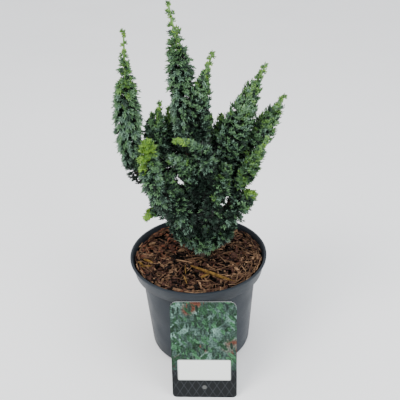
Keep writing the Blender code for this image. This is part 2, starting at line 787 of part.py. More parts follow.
def main():
    for obj in list(bpy.data.objects):
        bpy.data.objects.remove(obj)
    scene = bpy.context.scene
    plant = bpy.data.collections.new("potted_dwarf_cypress")
    bits = bpy.data.collections.new("bits")
    scene.collection.children.link(plant)
    scene.collection.children.link(bits)

    make_pot(plant, bits)
    make_growing_medium(plant)
    make_card(plant)

    trunk = make_trunk(plant)
    clearances = [make_trunk_clearance(bits)]
    bits.objects.unlink(clearances[0])
    boughs = []
    for mass in MASSES:
        if has_bough(mass):
            boughs.append(make_bough(mass, clearances[0], plant, bits))
            clearances.append(limb_object("clearance_" + mass.name, bough_path(mass), GAP, bits))
            bits.objects.unlink(clearances[-1])
    colour([trunk, *boughs], material("bark", (0.13, 0.075, 0.045), 0.85))

    space = Space(MASSES, limb_spheres())
    foliage = [grow_mass(mass, index, space, clearances, plant, bits) for index, mass in enumerate(MASSES)]
    colour(foliage, material("cypress_foliage", (0.035, 0.085, 0.050), 0.6))
    remove_objects(clearances)
    bpy.data.collections.remove(bits)


if __name__ == "__main__":
    main()
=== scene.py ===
"""Looks of a dwarf hinoki cypress in a nursery pot.

The pot, the mulch, the plant card, the bark and the foliage are made as new
pieces round the solid model, and each takes the place of the solid that it
stands for. The foliage grows from the same axes and by the same rule as the
solids: twigs a golden angle apart on each stem, kept to the mass's own space.

Units are metres, +Z is up, the card is on the -Y side, and the origin is the
centre of the pot's underside.
"""

import math
import random
from bisect import bisect_left
from collections import namedtuple
from itertools import accumulate

import bmesh
import bpy
import numpy as np
from bpy.props import FloatProperty, FloatVectorProperty, IntProperty, PointerProperty
from mathutils import Euler, Matrix, Quaternion, Vector, noise


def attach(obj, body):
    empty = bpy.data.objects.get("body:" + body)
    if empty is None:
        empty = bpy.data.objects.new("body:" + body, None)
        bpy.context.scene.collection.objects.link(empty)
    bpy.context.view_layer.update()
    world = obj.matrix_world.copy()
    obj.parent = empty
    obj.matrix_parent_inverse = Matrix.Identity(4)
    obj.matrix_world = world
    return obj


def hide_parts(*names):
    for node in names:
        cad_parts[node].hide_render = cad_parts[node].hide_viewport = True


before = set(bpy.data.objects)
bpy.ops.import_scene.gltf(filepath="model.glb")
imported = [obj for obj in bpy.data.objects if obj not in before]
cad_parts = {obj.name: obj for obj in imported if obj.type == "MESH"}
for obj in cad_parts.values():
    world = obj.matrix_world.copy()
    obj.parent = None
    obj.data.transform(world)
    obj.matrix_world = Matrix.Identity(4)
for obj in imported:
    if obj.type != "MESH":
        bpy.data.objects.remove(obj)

bl_info = {
    "name": "Potted dwarf cypress",
    "version": (1, 0, 0),
    "blender": (4, 5, 0),
    "location": "3D View > Sidebar > Cypress",
    "description": "Finishes a potted dwarf cypress with foliage, bark, mulch, pot and card",
    "category": "Object",
}

# pot
COLLAR_HEIGHT = 0.0190
COLLAR_FOOT_RADIUS = 0.0797
BODY_TOP_RADIUS = 0.0715
BODY_FOOT_RADIUS = 0.0643
LIP_BEAD = 0.0012
LIP_BEAD_HEIGHT = 0.0024
FOOT_ROUND = 0.0060
EDGE_ROUND = 0.0005
DRAIN_HOLES = 6
DRAIN_RADIUS = 0.0050
DRAIN_RING = 0.0460
DRAIN_SIDES = 32
POT_SIDES = 128
SHARP_ANGLE = math.radians(35.0)

# growing medium: an uneven bed, flat at the wall
SOIL_LEVEL = 0.1225
GAP = 0.0003
BED_SINK = 0.0012
BED_ROWS = 24
BED_SIDES = 96
BED_SWELL = 0.0022
BED_GRAIN = 90.0
BED_EDGE = 0.006

# mulch: chips, which pile up towards the wall and most in front, and lie along it where they are
# near; then thin shreds; widths of chips are shares of their length, and angles are in radians
PILE_HEIGHT = 0.0028
PILE_FROM = 0.72
PILE_FRONT = 0.5
CHIP_LENGTH = (0.005, 0.013)
CHIP_WIDTH = (0.22, 0.5)
CHIP_THICKNESS = (0.0010, 0.0024)
CHIP_CORNERS = ((0.55, 1.05), (0.45, 1.05), (0.5, 1.1))
CHIP_SINK = 0.0010
CHIP_DEPTH = 0.0046
CHIP_TOP_FINENESS = 0.2
CHIP_TILT = 0.22
WALL_ROOM = 0.6
ALONG_WALL_FROM = 0.55
ALONG_WALL_TURN = 0.15
SHRED_LENGTH = (0.007, 0.019)
SHRED_WIDTH = (0.0006, 0.0013)
SHRED_THICKNESS = 0.0006
SHRED_ROOM = 0.0010
SHRED_HEIGHT = (0.0016, 0.0042)
SHRED_ROLL = 0.2
SHRED_TILT = 0.14
SPLINTER_HEIGHT = 0.0046
SPLINTER_TILT = 0.02
SPLINTER_THICKNESS = 0.4

# bark tones, as places in the list of bark materials
DARK_BARK, RED_BARK, TAN_WOOD, PALE_WOOD, RUST_BARK, OCHRE_WOOD = range(6)
BARK_NAMES = ("dark", "red", "tan", "pale", "rust", "ochre")

# Shares of the dark, red, tan and pale tones; what each gains at the left back, where the chips are
# redder and lighter, partly redder bark and partly painted light from the left, and where the bark is
# dry, on the right; the rusty tone's share and its gain at the left back.
CHIP_SHARES = (0.40, 0.34, 0.20, 0.06)
SHRED_SHARES = (0.22, 0.36, 0.30, 0.12)
TONE_GAINS = ((-0.8, -0.5), (0.0, 0.0), (0.4, 0.4), (0.0, 1.2))
RUST_SHARE = 0.02
RUST_GAIN = 0.55
LIT_RED_LEFT = 0.025
LIT_RED_BACK = -0.005
LIT_RED_BLEND = 0.020
DRY_RIGHT = 0.020
DRY_BLEND = 0.025

# Splinters that lie on top: place across and along the pot, length, width, turn in degrees, tone.
SPLINTERS = (
    (0.017, -0.041, 0.066, 0.0052, -33.0, OCHRE_WOOD),
    (-0.018, -0.013, 0.022, 0.0022, -18.0, PALE_WOOD),
    (-0.005, -0.008, 0.026, 0.0018, 13.0, TAN_WOOD),
    (-0.016, -0.030, 0.018, 0.0034, -88.0, OCHRE_WOOD),
    (-0.016, -0.050, 0.018, 0.0034, -75.0, OCHRE_WOOD),
    (0.007, -0.044, 0.012, 0.0044, 29.0, OCHRE_WOOD),
    (0.012, -0.064, 0.012, 0.0044, 25.0, TAN_WOOD),
    (-0.067, 0.004, 0.024, 0.0022, -15.0, PALE_WOOD),
    (-0.065, 0.016, 0.020, 0.0014, -69.0, PALE_WOOD),
    (-0.052, 0.056, 0.027, 0.0022, 39.0, TAN_WOOD),
    (-0.059, 0.028, 0.011, 0.0046, 29.0, PALE_WOOD),
    (-0.062, 0.040, 0.012, 0.0050, 60.0, TAN_WOOD),
    (-0.071, -0.015, 0.010, 0.0044, -45.0, OCHRE_WOOD),
    (-0.062, -0.010, 0.016, 0.0040, -33.0, OCHRE_WOOD),
    (-0.064, -0.021, 0.013, 0.0030, 6.0, OCHRE_WOOD),
    (-0.021, 0.011, 0.011, 0.0044, 20.0, PALE_WOOD),
    (0.058, -0.002, 0.029, 0.0024, -75.0, TAN_WOOD),
    (0.071, -0.006, 0.026, 0.0022, -89.0, TAN_WOOD),
    (0.041, -0.020, 0.020, 0.0022, -40.0, TAN_WOOD),
    (0.047, -0.042, 0.017, 0.0018, 56.0, PALE_WOOD),
    (0.048, 0.049, 0.017, 0.0024, 50.0, PALE_WOOD),
    (0.064, 0.029, 0.019, 0.0020, -49.0, TAN_WOOD),
    (0.052, 0.014, 0.018, 0.0018, -38.0, PALE_WOOD),
    (0.036, 0.002, 0.020, 0.0020, 24.0, TAN_WOOD),
    (0.058, -0.026, 0.018, 0.0020, 64.0, TAN_WOOD),
    (0.030, -0.012, 0.016, 0.0016, -62.0, PALE_WOOD),
)

# plant card
CARD_WIDTH = 0.0760
CARD_HEIGHT = 0.1230
CARD_THICKNESS = 0.0006
CARD_TOP_ROUND = 0.0080
CARD_FOOT_ROUND = 0.0050
CARD_TOP_HEIGHT = 0.1192
CARD_TURN = math.radians(-3.0)
CARD_CENTRE_X = 0.0022
CARD_ROUND_STEPS = 8
CARD_WHITE = (0.78, 0.80, 0.78)

# printed face: top of the dark band; middle, half size, corner and edge of the pale field; the dot
BAND_TOP = 0.036
FIELD_MIDDLE = 0.0362
FIELD_HALF = (0.0310, 0.0133)
FIELD_CORNER = 0.0018
FIELD_EDGE = 0.0009
DOT_HEIGHT = 0.0135
DOT_RADIUS = 0.0026

# Layers of the printed leaves: turn, scale, colour and how light it is, and how light its shade.
LEAF_LAYERS = (
    (-0.7, 62.0, "leaf", 1.3, 0.2),
    (0.8, 84.0, "leaf", 3.0, 0.5),
    (0.1, 120.0, "ground", 1.1, 0.3),
)

# trunk and boughs
TRUNK_FOOT = Vector((0.006, 0.010, SOIL_LEVEL + GAP))
TRUNK_KNEE = Vector((0.006, 0.012, 0.200))
TRUNK_TIP = Vector((-0.011, 0.014, 0.272))
TRUNK_RADIUS = 0.0072
TRUNK_TIP_RADIUS = 0.0022
FLARE_RADIUS = 0.0115
FLARE_HEIGHT = 0.016
FLARE_LOBES = 3
FLARE_LOBE_DEPTH = 0.12
BOUGH_RADIUS = 0.0034
BOUGH_TIP_RADIUS = 0.0018
BOUGH_PULL = 0.2
TRUNK_SIDES = 28
TRUNK_RELIEF = 0.10
BOUGH_POINTS = 22
BOUGH_SIDES = 14
BOUGH_RELIEF = 0.12

# bark: scales of its ridges and flakes round the limb and along it, the flakes' share, and colours
RIDGE_NOISE = (2.2, 55.0)
FLAKE_NOISE = (6.0, 210.0)
FLAKE_SHARE = 0.5
BARK_SEAM = (0.018, 0.011, 0.008)
BARK_RIDGE = (0.072, 0.050, 0.036)
BARK_FADED = (0.066, 0.058, 0.049)
TWIG_BARK = (0.016, 0.020, 0.010)

# camera
CAMERA_PLACE = (0.0043, -0.5769, 0.5285)
CAMERA_PITCH = math.radians(29.27)
CAMERA_ROLL = math.radians(1.9)
CAMERA_LENS = 50.4
CAMERA_SENSOR = 36.0
CAMERA_NEAR = 0.01

# studio
FLOOR_HALF = 3.0
SKY_TINT = (0.95, 0.97, 1.0)
SKY_STRENGTH = 1.55
LIGHT_TARGET = (0.0, 0.0, 0.22)
KEY_PLACE = (-0.9, -0.7, 1.5)
KEY_SIZE = 0.9
KEY_TINT = (1.0, 0.98, 0.95)
FILL_PLACE = (1.1, -0.9, 0.9)
FILL_SIZE = 1.2
FILL_TINT = (0.95, 0.98, 1.0)

# foliage: outline of a mass, and the twigs of its dense part
GOLDEN_ANGLE = math.radians(137.508)
SEED = 11
AXIS_POINTS = 60
FULLEST_AT = 0.4
FOOT_FULLNESS = 0.65
TOP_DRAW_IN = 0.58
DRAW_IN_POWER = 1.6
LOW_RISE = math.radians(-20.0)
HIGH_RISE = math.radians(50.0)
RISE_SPREAD = math.radians(16.0)
REACH_SPREAD = (0.88, 1.16)
TWIG_SPACING = (0.1, 0.9)
TWIG_TURN = 0.35
BEND_SPREAD = (0.2, 1.2)
THIN_FROM = 0.66
THIN_SHARE = 0.90
TOP_FINENESS = 0.30
TWIG_RADIUS = 0.00050
TWIG_TAPER = 0.6
TWIG_BEND = 0.16
TWIG_SHORTEST = 0.2
STEM_STEP = 3
STEM_SIDES = 6
STEM_END_RADIUS = 0.0010
GREEN_STEM_FROM = 0.8
GREEN_STEM_SIDES = 5

# foliage: how far a mass may pass the edge of its space, in girths; how close it comes to the mulch,
# which rises away from the trunk; and how ragged the edge of a sky gap is, in its half widths
SPACE_OVERRUN = 0.08
SKIRT_HEIGHT = 0.002
SKIRT_FROM = 0.020
SKIRT_RISE = 0.55
GAP_EDGE = (0.4, 1.3)

# foliage: a spray, in lengths of a spray; each finger of its end fan has its place on the rib, its
# turn to the side and its length
SHOOT_LEAN = 0.3
RIB_LENGTH = 0.66
RIB_WIDTH = 0.13
RIB_THICKNESS = 0.10
FAN_FINGERS = ((0.44, 0.0, 0.58), (0.36, 0.44, 0.56), (0.28, -0.48, 0.56))
SIDE_FROM = 0.04
SIDE_REACH = 0.30
SIDE_TURN = (0.6, 1.0)
SIDE_LENGTH = 0.50
FINGER_WIDTH = 0.23
FINGER_THICKNESS = 0.11
FINGER_SPREAD = (0.85, 1.15)
FINGER_LIFT = 0.5
FINGER_TWIST = 0.5
SPRAY_FINGERS = (4, 4, 5, 3, 4, 1, 2)
PLAIN_FROM = 5
PLAIN_DEPTH = 0.65

# foliage: where the sprays sit along a twig and to which hand, how they lie, and how they are
# fitted in
SPRAY_PLACES = ((0.30, 1.0), (0.52, -1.0), (0.72, 1.0), (0.87, -1.0), (1.0, 0.3))
SPRAY_LIFT = 0.45
SPRAY_LEVEL = 0.9
SPRAY_TWIST = 0.6
SPRAY_FORWARD = 0.8
SPRAY_ASIDE = (0.2, 0.7)
SPRAY_TOSS = 0.25
SPRAY_SIZES = (0.80, 1.15)
SPRAY_OVERHANG = 0.8
SPRAY_MIDDLE = 0.6
SPRAY_SHRINK = 0.72
SPRAY_TRIES = 3

# foliage: tufts on the leaders; steps and sizes in metres, turns in radians, and where the parts of
# a tuft sit in shares of its size
FREE_LEADER = 0.0045
LEADER_STEP = 0.0036
LEADER_SPRAY = 0.0106
LEADER_TIP_SPRAY = 0.0056
LEADER_OVERLAP = 0.034
TUFT_TURNS = (-0.55, 0.0, 0.55)
TUFT_STOUTNESS = 1.7
TUFT_TURN = 0.9
SHORT_TUFT_TURN = 0.3
TUFT_SPACING = (0.3, 0.7)
TUFT_SIZES = (0.85, 1.1)
TUFT_TWIST = 0.5
TUFT_RISE = 0.6
TUFT_DROOP = 0.2
TUFT_TWIG = 0.45
TUFT_SEAT = 0.15
TUFT_SPRAY = 0.85
TUFT_SPRAY_SIZES = (0.8, 1.0)
TIP_TURNS = (0.0, 2.1, 4.2)
TIP_SEAT = 0.002
TIP_SPREAD = 0.35

# foliage: short twigs inside the crown, along the trunk and the boughs, with the places and hands
# of their sprays, which are painted in shade
INNER_FROM = 0.155
INNER_STEP = 0.0008
INNER_PATH_POINTS = 40
INNER_PATH_SKIP = 10
INNER_PLACES = ((0.4, 1.0), (0.6, -1.0), (0.8, 1.0), (1.0, -0.3))
INNER_RISE = (-0.2, 0.7)
INNER_SPREAD = (0.5, 1.0)
INNER_ASIDE = (0.4, 1.0)
INNER_TOSS = 0.4
INNER_SIZES = (0.7, 1.0)
TRUNK_INNER_REACH = 0.018
BOUGH_INNER_REACH = 0.011

# foliage: painted shade low down and close to the trunk, with a recess in front painted dark and a foot
# left lit, with little painted shade
PAINTED_SHADE_FOOT = 0.145
PAINTED_SHADE_HEIGHT = 0.130
PAINTED_SHADE_WIDTH = 0.055
DEEPEST_SHADE = 1.60
RECESS_TOP = 0.245
RECESS_MIDDLE = 0.009
RECESS_HALF = 0.014
RECESS_SHADE_SHARE = 0.95
LIT_FOOT = 0.162
LIT_FOOT_SHARE = 0.10

# Each row: name; height on the trunk where it starts (None on the trunk's tip); foot of the
# axis, where its bough ends (None where the stem sits on the trunk itself); knee and tip of
# the axis; girth as a radius; length of the bare leader.
Mass = namedtuple("Mass", "name start foot knee tip girth leader")
MASSES = (
    Mass("top_leader", None, (-0.0112, 0.014, 0.2723), (-0.0075, 0.011, 0.352), (-0.021, 0.01, 0.4265),
         0.0185, 0.022),
    Mass("left_column", 0.178, (-0.0732, 0.014, 0.25), (-0.0746, 0.012, 0.316), (-0.0684, 0.01, 0.4),
         0.0190, 0.028),
    Mass("left_shoulder", 0.190, (-0.034, 0.018, 0.234), (-0.051, 0.016, 0.278), (-0.036, 0.014, 0.322),
         0.0185, 0.010),
    Mass("middle_spire", 0.222, (0.006, 0.004, 0.268), (0.0, 0.002, 0.326), (0.0225, 0.0, 0.378),
         0.0150, 0.019),
    Mass("right_spire", 0.198, (0.034, 0.004, 0.244), (0.045, 0.0, 0.3), (0.0775, 0.0, 0.364),
         0.0190, 0.015),
    Mass("right_arm", 0.184, (0.051, 0.006, 0.234), (0.0715, 0.004, 0.288), (0.0995, 0.004, 0.328),
         0.0170, 0.006),
    Mass("right_front_arm", 0.168, (0.041, -0.014, 0.212), (0.0605, -0.018, 0.254), (0.0785, -0.02, 0.29),
         0.0120, 0.010),
    Mass("front_left", 0.166, (-0.033, -0.022, 0.206), (-0.051, -0.033, 0.252), (-0.0495, -0.032, 0.296),
         0.0165, 0.004),
    Mass("front_finger", 0.208, (0.013, -0.022, 0.254), (0.016, -0.044, 0.296), (-0.020, -0.040, 0.299),
         0.0110, 0.003),
    Mass("front_middle", 0.194, None, (0.0, -0.036, 0.274), (-0.026, -0.032, 0.274),
         0.0170, 0.003),
    Mass("low_right", 0.150, (0.031, -0.009, 0.184), (0.049, -0.019, 0.212), (0.065, -0.018, 0.221),
         0.0175, 0.003),
    Mass("low_left", 0.146, (-0.024, 0.004, 0.182), (-0.045, -0.011, 0.212), (-0.059, -0.017, 0.192),
         0.0105, 0.003),
    Mass("low_front_left", 0.152, None, (-0.020, -0.026, 0.190), (-0.028, -0.026, 0.252),
         0.0160, 0.003),
    Mass("low_front_right", 0.156, None, (0.019, -0.022, 0.198), (0.034, -0.018, 0.256),
         0.0180, 0.003),
    Mass("foot_front", 0.140, None, (0.009, -0.018, 0.152), (0.009, -0.020, 0.176),
         0.0160, 0.002),
    Mass("foot_left", 0.138, None, (-0.024, -0.008, 0.156), (-0.030, -0.010, 0.193),
         0.0125, 0.002),
    Mass("foot_right", 0.141, None, (0.033, -0.008, 0.150), (0.042, -0.012, 0.182),
         0.0125, 0.002),
    Mass("right_shoulder", 0.210, (0.022, 0.032, 0.230), (0.034, 0.036, 0.260), (0.031, 0.038, 0.296),
         0.0150, 0.005),
    Mass("back_spire", 0.198, (-0.006, 0.040, 0.236), (-0.018, 0.056, 0.284), (-0.018, 0.058, 0.331),
         0.0150, 0.008),
    Mass("back_middle", 0.166, (0.008, 0.050, 0.196), (0.013, 0.066, 0.242), (0.021, 0.070, 0.284),
         0.0160, 0.006),
    Mass("back_right", 0.176, (0.038, 0.034, 0.204), (0.052, 0.046, 0.236), (0.066, 0.048, 0.293),
         0.0160, 0.008),
    Mass("back_left", 0.158, (-0.026, 0.040, 0.193), (-0.044, 0.056, 0.214), (-0.050, 0.060, 0.261),
         0.0160, 0.006),
    Mass("foot_back", 0.141, None, (0.013, 0.050, 0.152), (0.020, 0.054, 0.194),
         0.0165, 0.004),
    Mass("foot_back_left", 0.146, None, (-0.028, 0.038, 0.158), (-0.034, 0.042, 0.194),
         0.0165, 0.004),
    Mass("back_heart", 0.180, None, (-0.002, 0.038, 0.216), (-0.008, 0.034, 0.258),
         0.0140, 0.003),
    Mass("heart", 0.178, None, (-0.004, -0.004, 0.212), (-0.013, -0.002, 0.252),
         0.0150, 0.003),
    Mass("left_back_shoulder", 0.216, (-0.012, 0.024, 0.23), (-0.025, 0.026, 0.268), (-0.029, 0.026, 0.31),
         0.0160, 0.005),
)

# Share of the dense part above which a mass is lime; how far the sprays of a mass lie up or hang
# down along its axis; masses whose sprays are painted in dark shade.
LIME_TIPS = {"front_left": 0.68, "front_finger": 0.73, "low_right": 0.80, "low_left": 0.72}
SPRAY_LIE = {"left_column": -1.3, "top_leader": -0.9, "front_left": -0.9, "right_spire": 0.5,
             "middle_spire": 0.3, "right_arm": 0.2, "low_front_left": -0.5, "low_front_right": -0.6,
             "foot_right": -0.4, "foot_left": -0.4}
SHADED = ("heart", "back_heart")

# Plumes that are young from lower down than the others: share from which they are.
YOUNG_PLUMES = {"right_arm": 0.25, "right_front_arm": 0.10, "right_spire": 0.45, "left_column": 0.55}

# Masses with a slimmer or fuller end: share from which it starts, and its girth over the usual one.
END_GIRTHS = {"front_finger": (0.55, 0.52), "front_left": (0.60, 1.06), "right_arm": (0.92, 0.75),
              "right_spire": (0.86, 0.70)}

# Gaps where the sky shows through the crown from the front: a point in each and its half width.
SKY_GAPS = (
    ((-0.036, 0.000, 0.259), 0.0030),
    ((-0.031, 0.000, 0.249), 0.0036),
    ((-0.022, -0.010, 0.239), 0.0036),
    ((-0.017, -0.010, 0.235), 0.0044),
    ((-0.012, -0.010, 0.232), 0.0034),
    ((0.030, -0.010, 0.201), 0.0044),
    ((0.034, -0.010, 0.207), 0.0046),
    ((0.039, -0.010, 0.213), 0.0036),
)

# foliage tones, as places in the list of leaf materials; the darkest tone and the shade tone are painted
# shade, for sprays inside and low in the crown
DEEP_SHADE, SHADE, BLUE, GREEN, FRESH, LIME = range(6)
TONE_NAMES = ("deep", "shade", "blue", "green", "fresh", "lime")
# Tones of each spray's rib: darker than its fingers, as painted shade at the spray's root.
ROOT_SHADE_TONES = (DEEP_SHADE, DEEP_SHADE, SHADE, SHADE, GREEN, GREEN)

# Depths of a spray, as shares of its twig's reach, up to which it is painted in shade, and then in a mix of
# painted shade and lit tones; the shares of the tones in each zone; for the tufts, the share at a leader's
# foot and its gain.
SHADE_DEPTH = 0.66
MIXED_DEPTH = 0.82
LIME_DEPTH = 0.4
LIME_LEAN = 0.10
LIME_BLEND = 0.12
LIME_MIX = {FRESH: 0.3, LIME: 0.7}
YOUNG_MIX = {SHADE: 0.1, GREEN: 0.5, FRESH: 0.4}
YOUNG_INNER_MIX = {SHADE: 0.5, GREEN: 0.4, FRESH: 0.1}
INNER_SHADE_MIX = {DEEP_SHADE: 0.8, SHADE: 0.2}
MIDDLE_SHADE_MIX = {DEEP_SHADE: 0.45, SHADE: 0.45, BLUE: 0.10}
INNER_TWIG_SHADE_MIX = {DEEP_SHADE: 0.4, SHADE: 0.6}
TUFT_MIX = {GREEN: (0.60, -0.4), FRESH: (0.40, 0.0), LIME: (0.02, 0.2)}
PAINTED_SHADE_DARKEST = 0.8
OUTER_SHADE = 0.08
OUTER_BLUE_GREEN = 0.90
LOW_GREEN = 0.28
GREEN_GAIN = 0.50
YOUNG_FROM = 0.62
YOUNG_SHARE = 1.5
LOW_YOUNG = 0.12


# settings

def length(name, description, default, low, high):
    return FloatProperty(name=name, description=description, default=default, min=low, max=high,
                         subtype="DISTANCE", unit="LENGTH")


def colour(name, description, default):
    return FloatVectorProperty(name=name, description=description, default=default, min=0.0, max=1.0,
                               size=3, subtype="COLOR")


class CypressPotSettings(bpy.types.PropertyGroup):
    """Sizes and colour of the pot"""

    height: length("Height", "Height of the pot", 0.132, 0.05, 0.4)
    lip_radius: length("Lip radius", "Outer radius of the lip", 0.0845, 0.03, 0.3)
    wall: length("Wall", "Thickness of the wall", 0.0018, 0.0005, 0.01)
    plastic: colour("Plastic", "Colour of the moulded plastic", (0.0160, 0.0205, 0.0262))


class CypressMulchSettings(bpy.types.PropertyGroup):
    """Amount and colours of the bark mulch"""

    chips: IntProperty(name="Chips", description="Number of bark chips", default=860, min=0, max=4000)
    shreds: IntProperty(name="Shreds", description="Number of thin shreds", default=750, min=0, max=4000)
    dark: colour("Dark bark", "Colour of the damp bark", (0.005, 0.003, 0.0025))
    red: colour("Red bark", "Colour of the reddish bark", (0.050, 0.023, 0.016))
    tan: colour("Tan wood", "Colour of the paler wood", (0.098, 0.054, 0.030))
    pale: colour("Pale wood", "Colour of the dry splinters", (0.210, 0.125, 0.070))
    rust: colour("Rusty bark", "Colour of the fresh, orange-red bark", (0.125, 0.047, 0.026))
    ochre: colour("Ochre wood", "Colour of the yellow splinters", (0.150, 0.085, 0.022))


class CypressFoliageSettings(bpy.types.PropertyGroup):
    """Density and colours of the foliage"""

    twigs: FloatProperty(name="Twigs", description="Twigs for each square metre of axis length times girth",
                         default=166000.0, min=1000.0, max=400000.0)
    spray: length("Spray", "Length of one spray", 0.0080, 0.002, 0.03)
    # The first two leaf colours are painted shade: the darkest for sprays inside the crown, the next for
    # sprays in part shade.
    deep: colour("Deep", "Oldest leaves, inside", (0.004, 0.009, 0.006))
    shade: colour("Shade", "Shaded leaves", (0.019, 0.040, 0.026))
    blue: colour("Blue", "Grey-blue face of the leaves", (0.105, 0.180, 0.126))
    green: colour("Green", "Green face of the leaves", (0.085, 0.170, 0.078))
    fresh: colour("Fresh", "This year's leaves", (0.100, 0.205, 0.046))
    lime: colour("Lime", "Newest tips", (0.155, 0.290, 0.036))


class CypressCardSettings(bpy.types.PropertyGroup):
    """Colours of the plant card"""

    ground: colour("Ground", "Soft ground of the printed pattern", (0.052, 0.092, 0.076))
    leaf: colour("Leaf", "Main green of the printed leaves", (0.022, 0.062, 0.030))
    rust: colour("Rust", "Warm patches of the printed pattern", (0.110, 0.036, 0.022))
    panel: colour("Panel", "Bare pale panel", (0.780, 0.800, 0.770))
    band: colour("Band", "Dark band at the foot", (0.008, 0.009, 0.010))


class CypressStudioSettings(bpy.types.PropertyGroup):
    """Light and camera"""

    key: FloatProperty(name="Key light", description="Power of the key light", default=22.0, min=0.0,
                       subtype="POWER", unit="POWER")
    fill: FloatProperty(name="Fill light", description="Power of the fill light", default=17.0, min=0.0,
                        subtype="POWER", unit="POWER")
    floor: colour("Floor", "Colour of the floor", (0.94, 0.94, 0.94))


# mesh helpers

def placed(name, data):
    """A new object in the scene."""
    thing = bpy.data.objects.new(name, data)
    bpy.context.scene.collection.objects.link(thing)
    return thing


def mesh_from(name, bm):
    """Turn a bmesh into a mesh and free it."""
    mesh = bpy.data.meshes.new(name)
    bm.to_mesh(mesh)
    bm.free()
    return mesh


def finished(name, bm, materials, replaces=(), smooth=False):
    """Turn a bmesh into a finished piece that rides on the pot and stands for its solids."""
    mesh = mesh_from(name, bm)
    for mat in materials:
        mesh.materials.append(mat)
    if smooth:
        mesh.shade_smooth()
        mesh.set_sharp_from_angle(angle=SHARP_ANGLE)
    piece = placed(name, mesh)
    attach(piece, "root")
    for node in replaces:
        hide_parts(node)
    return piece


def painted(verts, tone):
    """Give every face at the verts the material at one place of the list."""
    for face in {face for vert in verts for face in vert.link_faces}:
        face.material_index = tone


def drawn(rng, mix):
    """One tone drawn by the shares of a mix."""
    return rng.choices(list(mix), list(mix.values()))[0]


def clamped(value):
    return min(1.0, max(0.0, value))


def around(angle, normal, across):
    """The direction at an angle round an axis."""
    return math.cos(angle) * normal + math.sin(angle) * across


def turned(about_x, about_y, about_z):
    """Turns about the three axes, as one matrix."""
    return Euler((about_x, about_y, about_z)).to_matrix().to_4x4()


def facing(heading, side):
    """The turn that takes z to the heading and x to the side, which is first squared to the heading."""
    side = (side - side.dot(heading) * heading).normalized()
    return Matrix((side, heading.cross(side), heading)).transposed().to_4x4()


def bezier(foot, knee, tip, count):
    """Points of a quadratic curve from foot to tip, pulled towards the knee."""
    foot, knee, tip = Vector(foot), Vector(knee), Vector(tip)
    points = []
    for step in range(count):
        t = step / (count - 1)
        points.append((1 - t) ** 2 * foot + 2 * t * (1 - t) * knee + t * t * tip)
    return points


def frames(points):
    """A frame carried along the points without twist: tangent and two normals."""
    tangents = []
    for before, after in zip([points[0], *points[:-1]], [*points[1:], points[-1]]):
        tangents.append((after - before).normalized())
    normal = tangents[0].orthogonal().normalized()
    result = []
    for tangent in tangents:
        normal = (normal - normal.dot(tangent) * tangent).normalized()
        result.append((tangent, normal, tangent.cross(normal)))
    return result


def loft(bm, rings, material_index=0):
    """A closed skin through rings of equal count, drawn from ring to ring."""
    verts = bmesh.ops.create_circle(bm, cap_ends=False, segments=len(rings[0]), radius=1.0)["verts"]
    edges = list({edge for vert in verts for edge in vert.link_edges})
    for vert, place in zip(verts, rings[0]):
        vert.co = place
    first, faces = edges, []
    for ring in rings[1:]:
        grown = bmesh.ops.extrude_edge_only(bm, edges=edges)["geom"]
        fresh = {item for item in grown if isinstance(item, bmesh.types.BMVert)}
        verts = [next(edge.other_vert(vert) for edge in vert.link_edges if edge.other_vert(vert) in fresh)
                 for vert in verts]
        edges = [item for item in grown
                 if isinstance(item, bmesh.types.BMEdge) and fresh.issuperset(item.verts)]
        faces += [item for item in grown if isinstance(item, bmesh.types.BMFace)]
        for vert, place in zip(verts, ring):
            vert.co = place
    for rim in (first, edges):
        faces += bmesh.ops.holes_fill(bm, edges=rim, sides=0)["faces"]
    for face in faces:
        face.material_index = material_index
    bmesh.ops.recalc_face_normals(bm, faces=faces)


def round_rings(points, radii, sides, relief=lambda angle, point: 1.0):
    """Rings round the points; the relief scales each radius by its angle and place."""
    rings = []
    for point, radius, (_, normal, across) in zip(points, radii, frames(points)):
        angles = [math.tau * side / sides for side in range(sides)]
        rings.append([point + radius * relief(angle, point) * around(angle, normal, across)
                      for angle in angles])
    return rings


def spun(bm, profile, steps):
    """Turn a profile of (radius, height) points about the upright axis into a closed shell."""
    verts = [bm.verts.new((x, 0.0, z)) for x, z in profile]
    edges = [bm.edges.new(pair) for pair in zip(verts, verts[1:])]
    bmesh.ops.spin(bm, geom=[*verts, *edges], cent=(0, 0, 0), axis=(0, 0, 1), angle=math.tau, steps=steps,
                   use_merge=True)
    bmesh.ops.remove_doubles(bm, verts=bm.verts[:], dist=1e-5)
    bmesh.ops.recalc_face_normals(bm, faces=bm.faces[:])


def arc(centre_x, centre_z, radius, start, end, steps):
    """Points on a round stretch of a turned profile, angles in degrees."""
    points = []
    for step in range(steps + 1):
        angle = math.radians(start + (end - start) * step / steps)
        points.append((centre_x + radius * math.cos(angle), centre_z + radius * math.sin(angle)))
    return points


# material helpers

def node_group(name, inputs, outputs):
    """An empty shader node group with named sockets, and its two end nodes."""
    group = bpy.data.node_groups.new(name, "ShaderNodeTree")
    for socket, kind, default in inputs:
        item = group.interface.new_socket(name=socket, in_out="INPUT", socket_type=kind)
        item.default_value = default
    for socket, kind in outputs:
        group.interface.new_socket(name=socket, in_out="OUTPUT", socket_type=kind)
    return group, group.nodes.new("NodeGroupInput"), group.nodes.new("NodeGroupOutput")


def object_noise(tree, scale, detail=3.0, stretch=(1.0, 1.0, 1.0)):
    """A noise texture on Object coordinates; returns the node."""
    coords = tree.nodes.new("ShaderNodeTexCoord")
    mapping = tree.nodes.new("ShaderNodeMapping")
    mapping.inputs["Scale"].default_value = stretch
    texture = tree.nodes.new("ShaderNodeTexNoise")
    texture.inputs["Scale"].default_value = scale
    texture.inputs["Detail"].default_value = detail
    tree.links.new(coords.outputs["Object"], mapping.inputs["Vector"])
    tree.links.new(mapping.outputs["Vector"], texture.inputs["Vector"])
    return texture


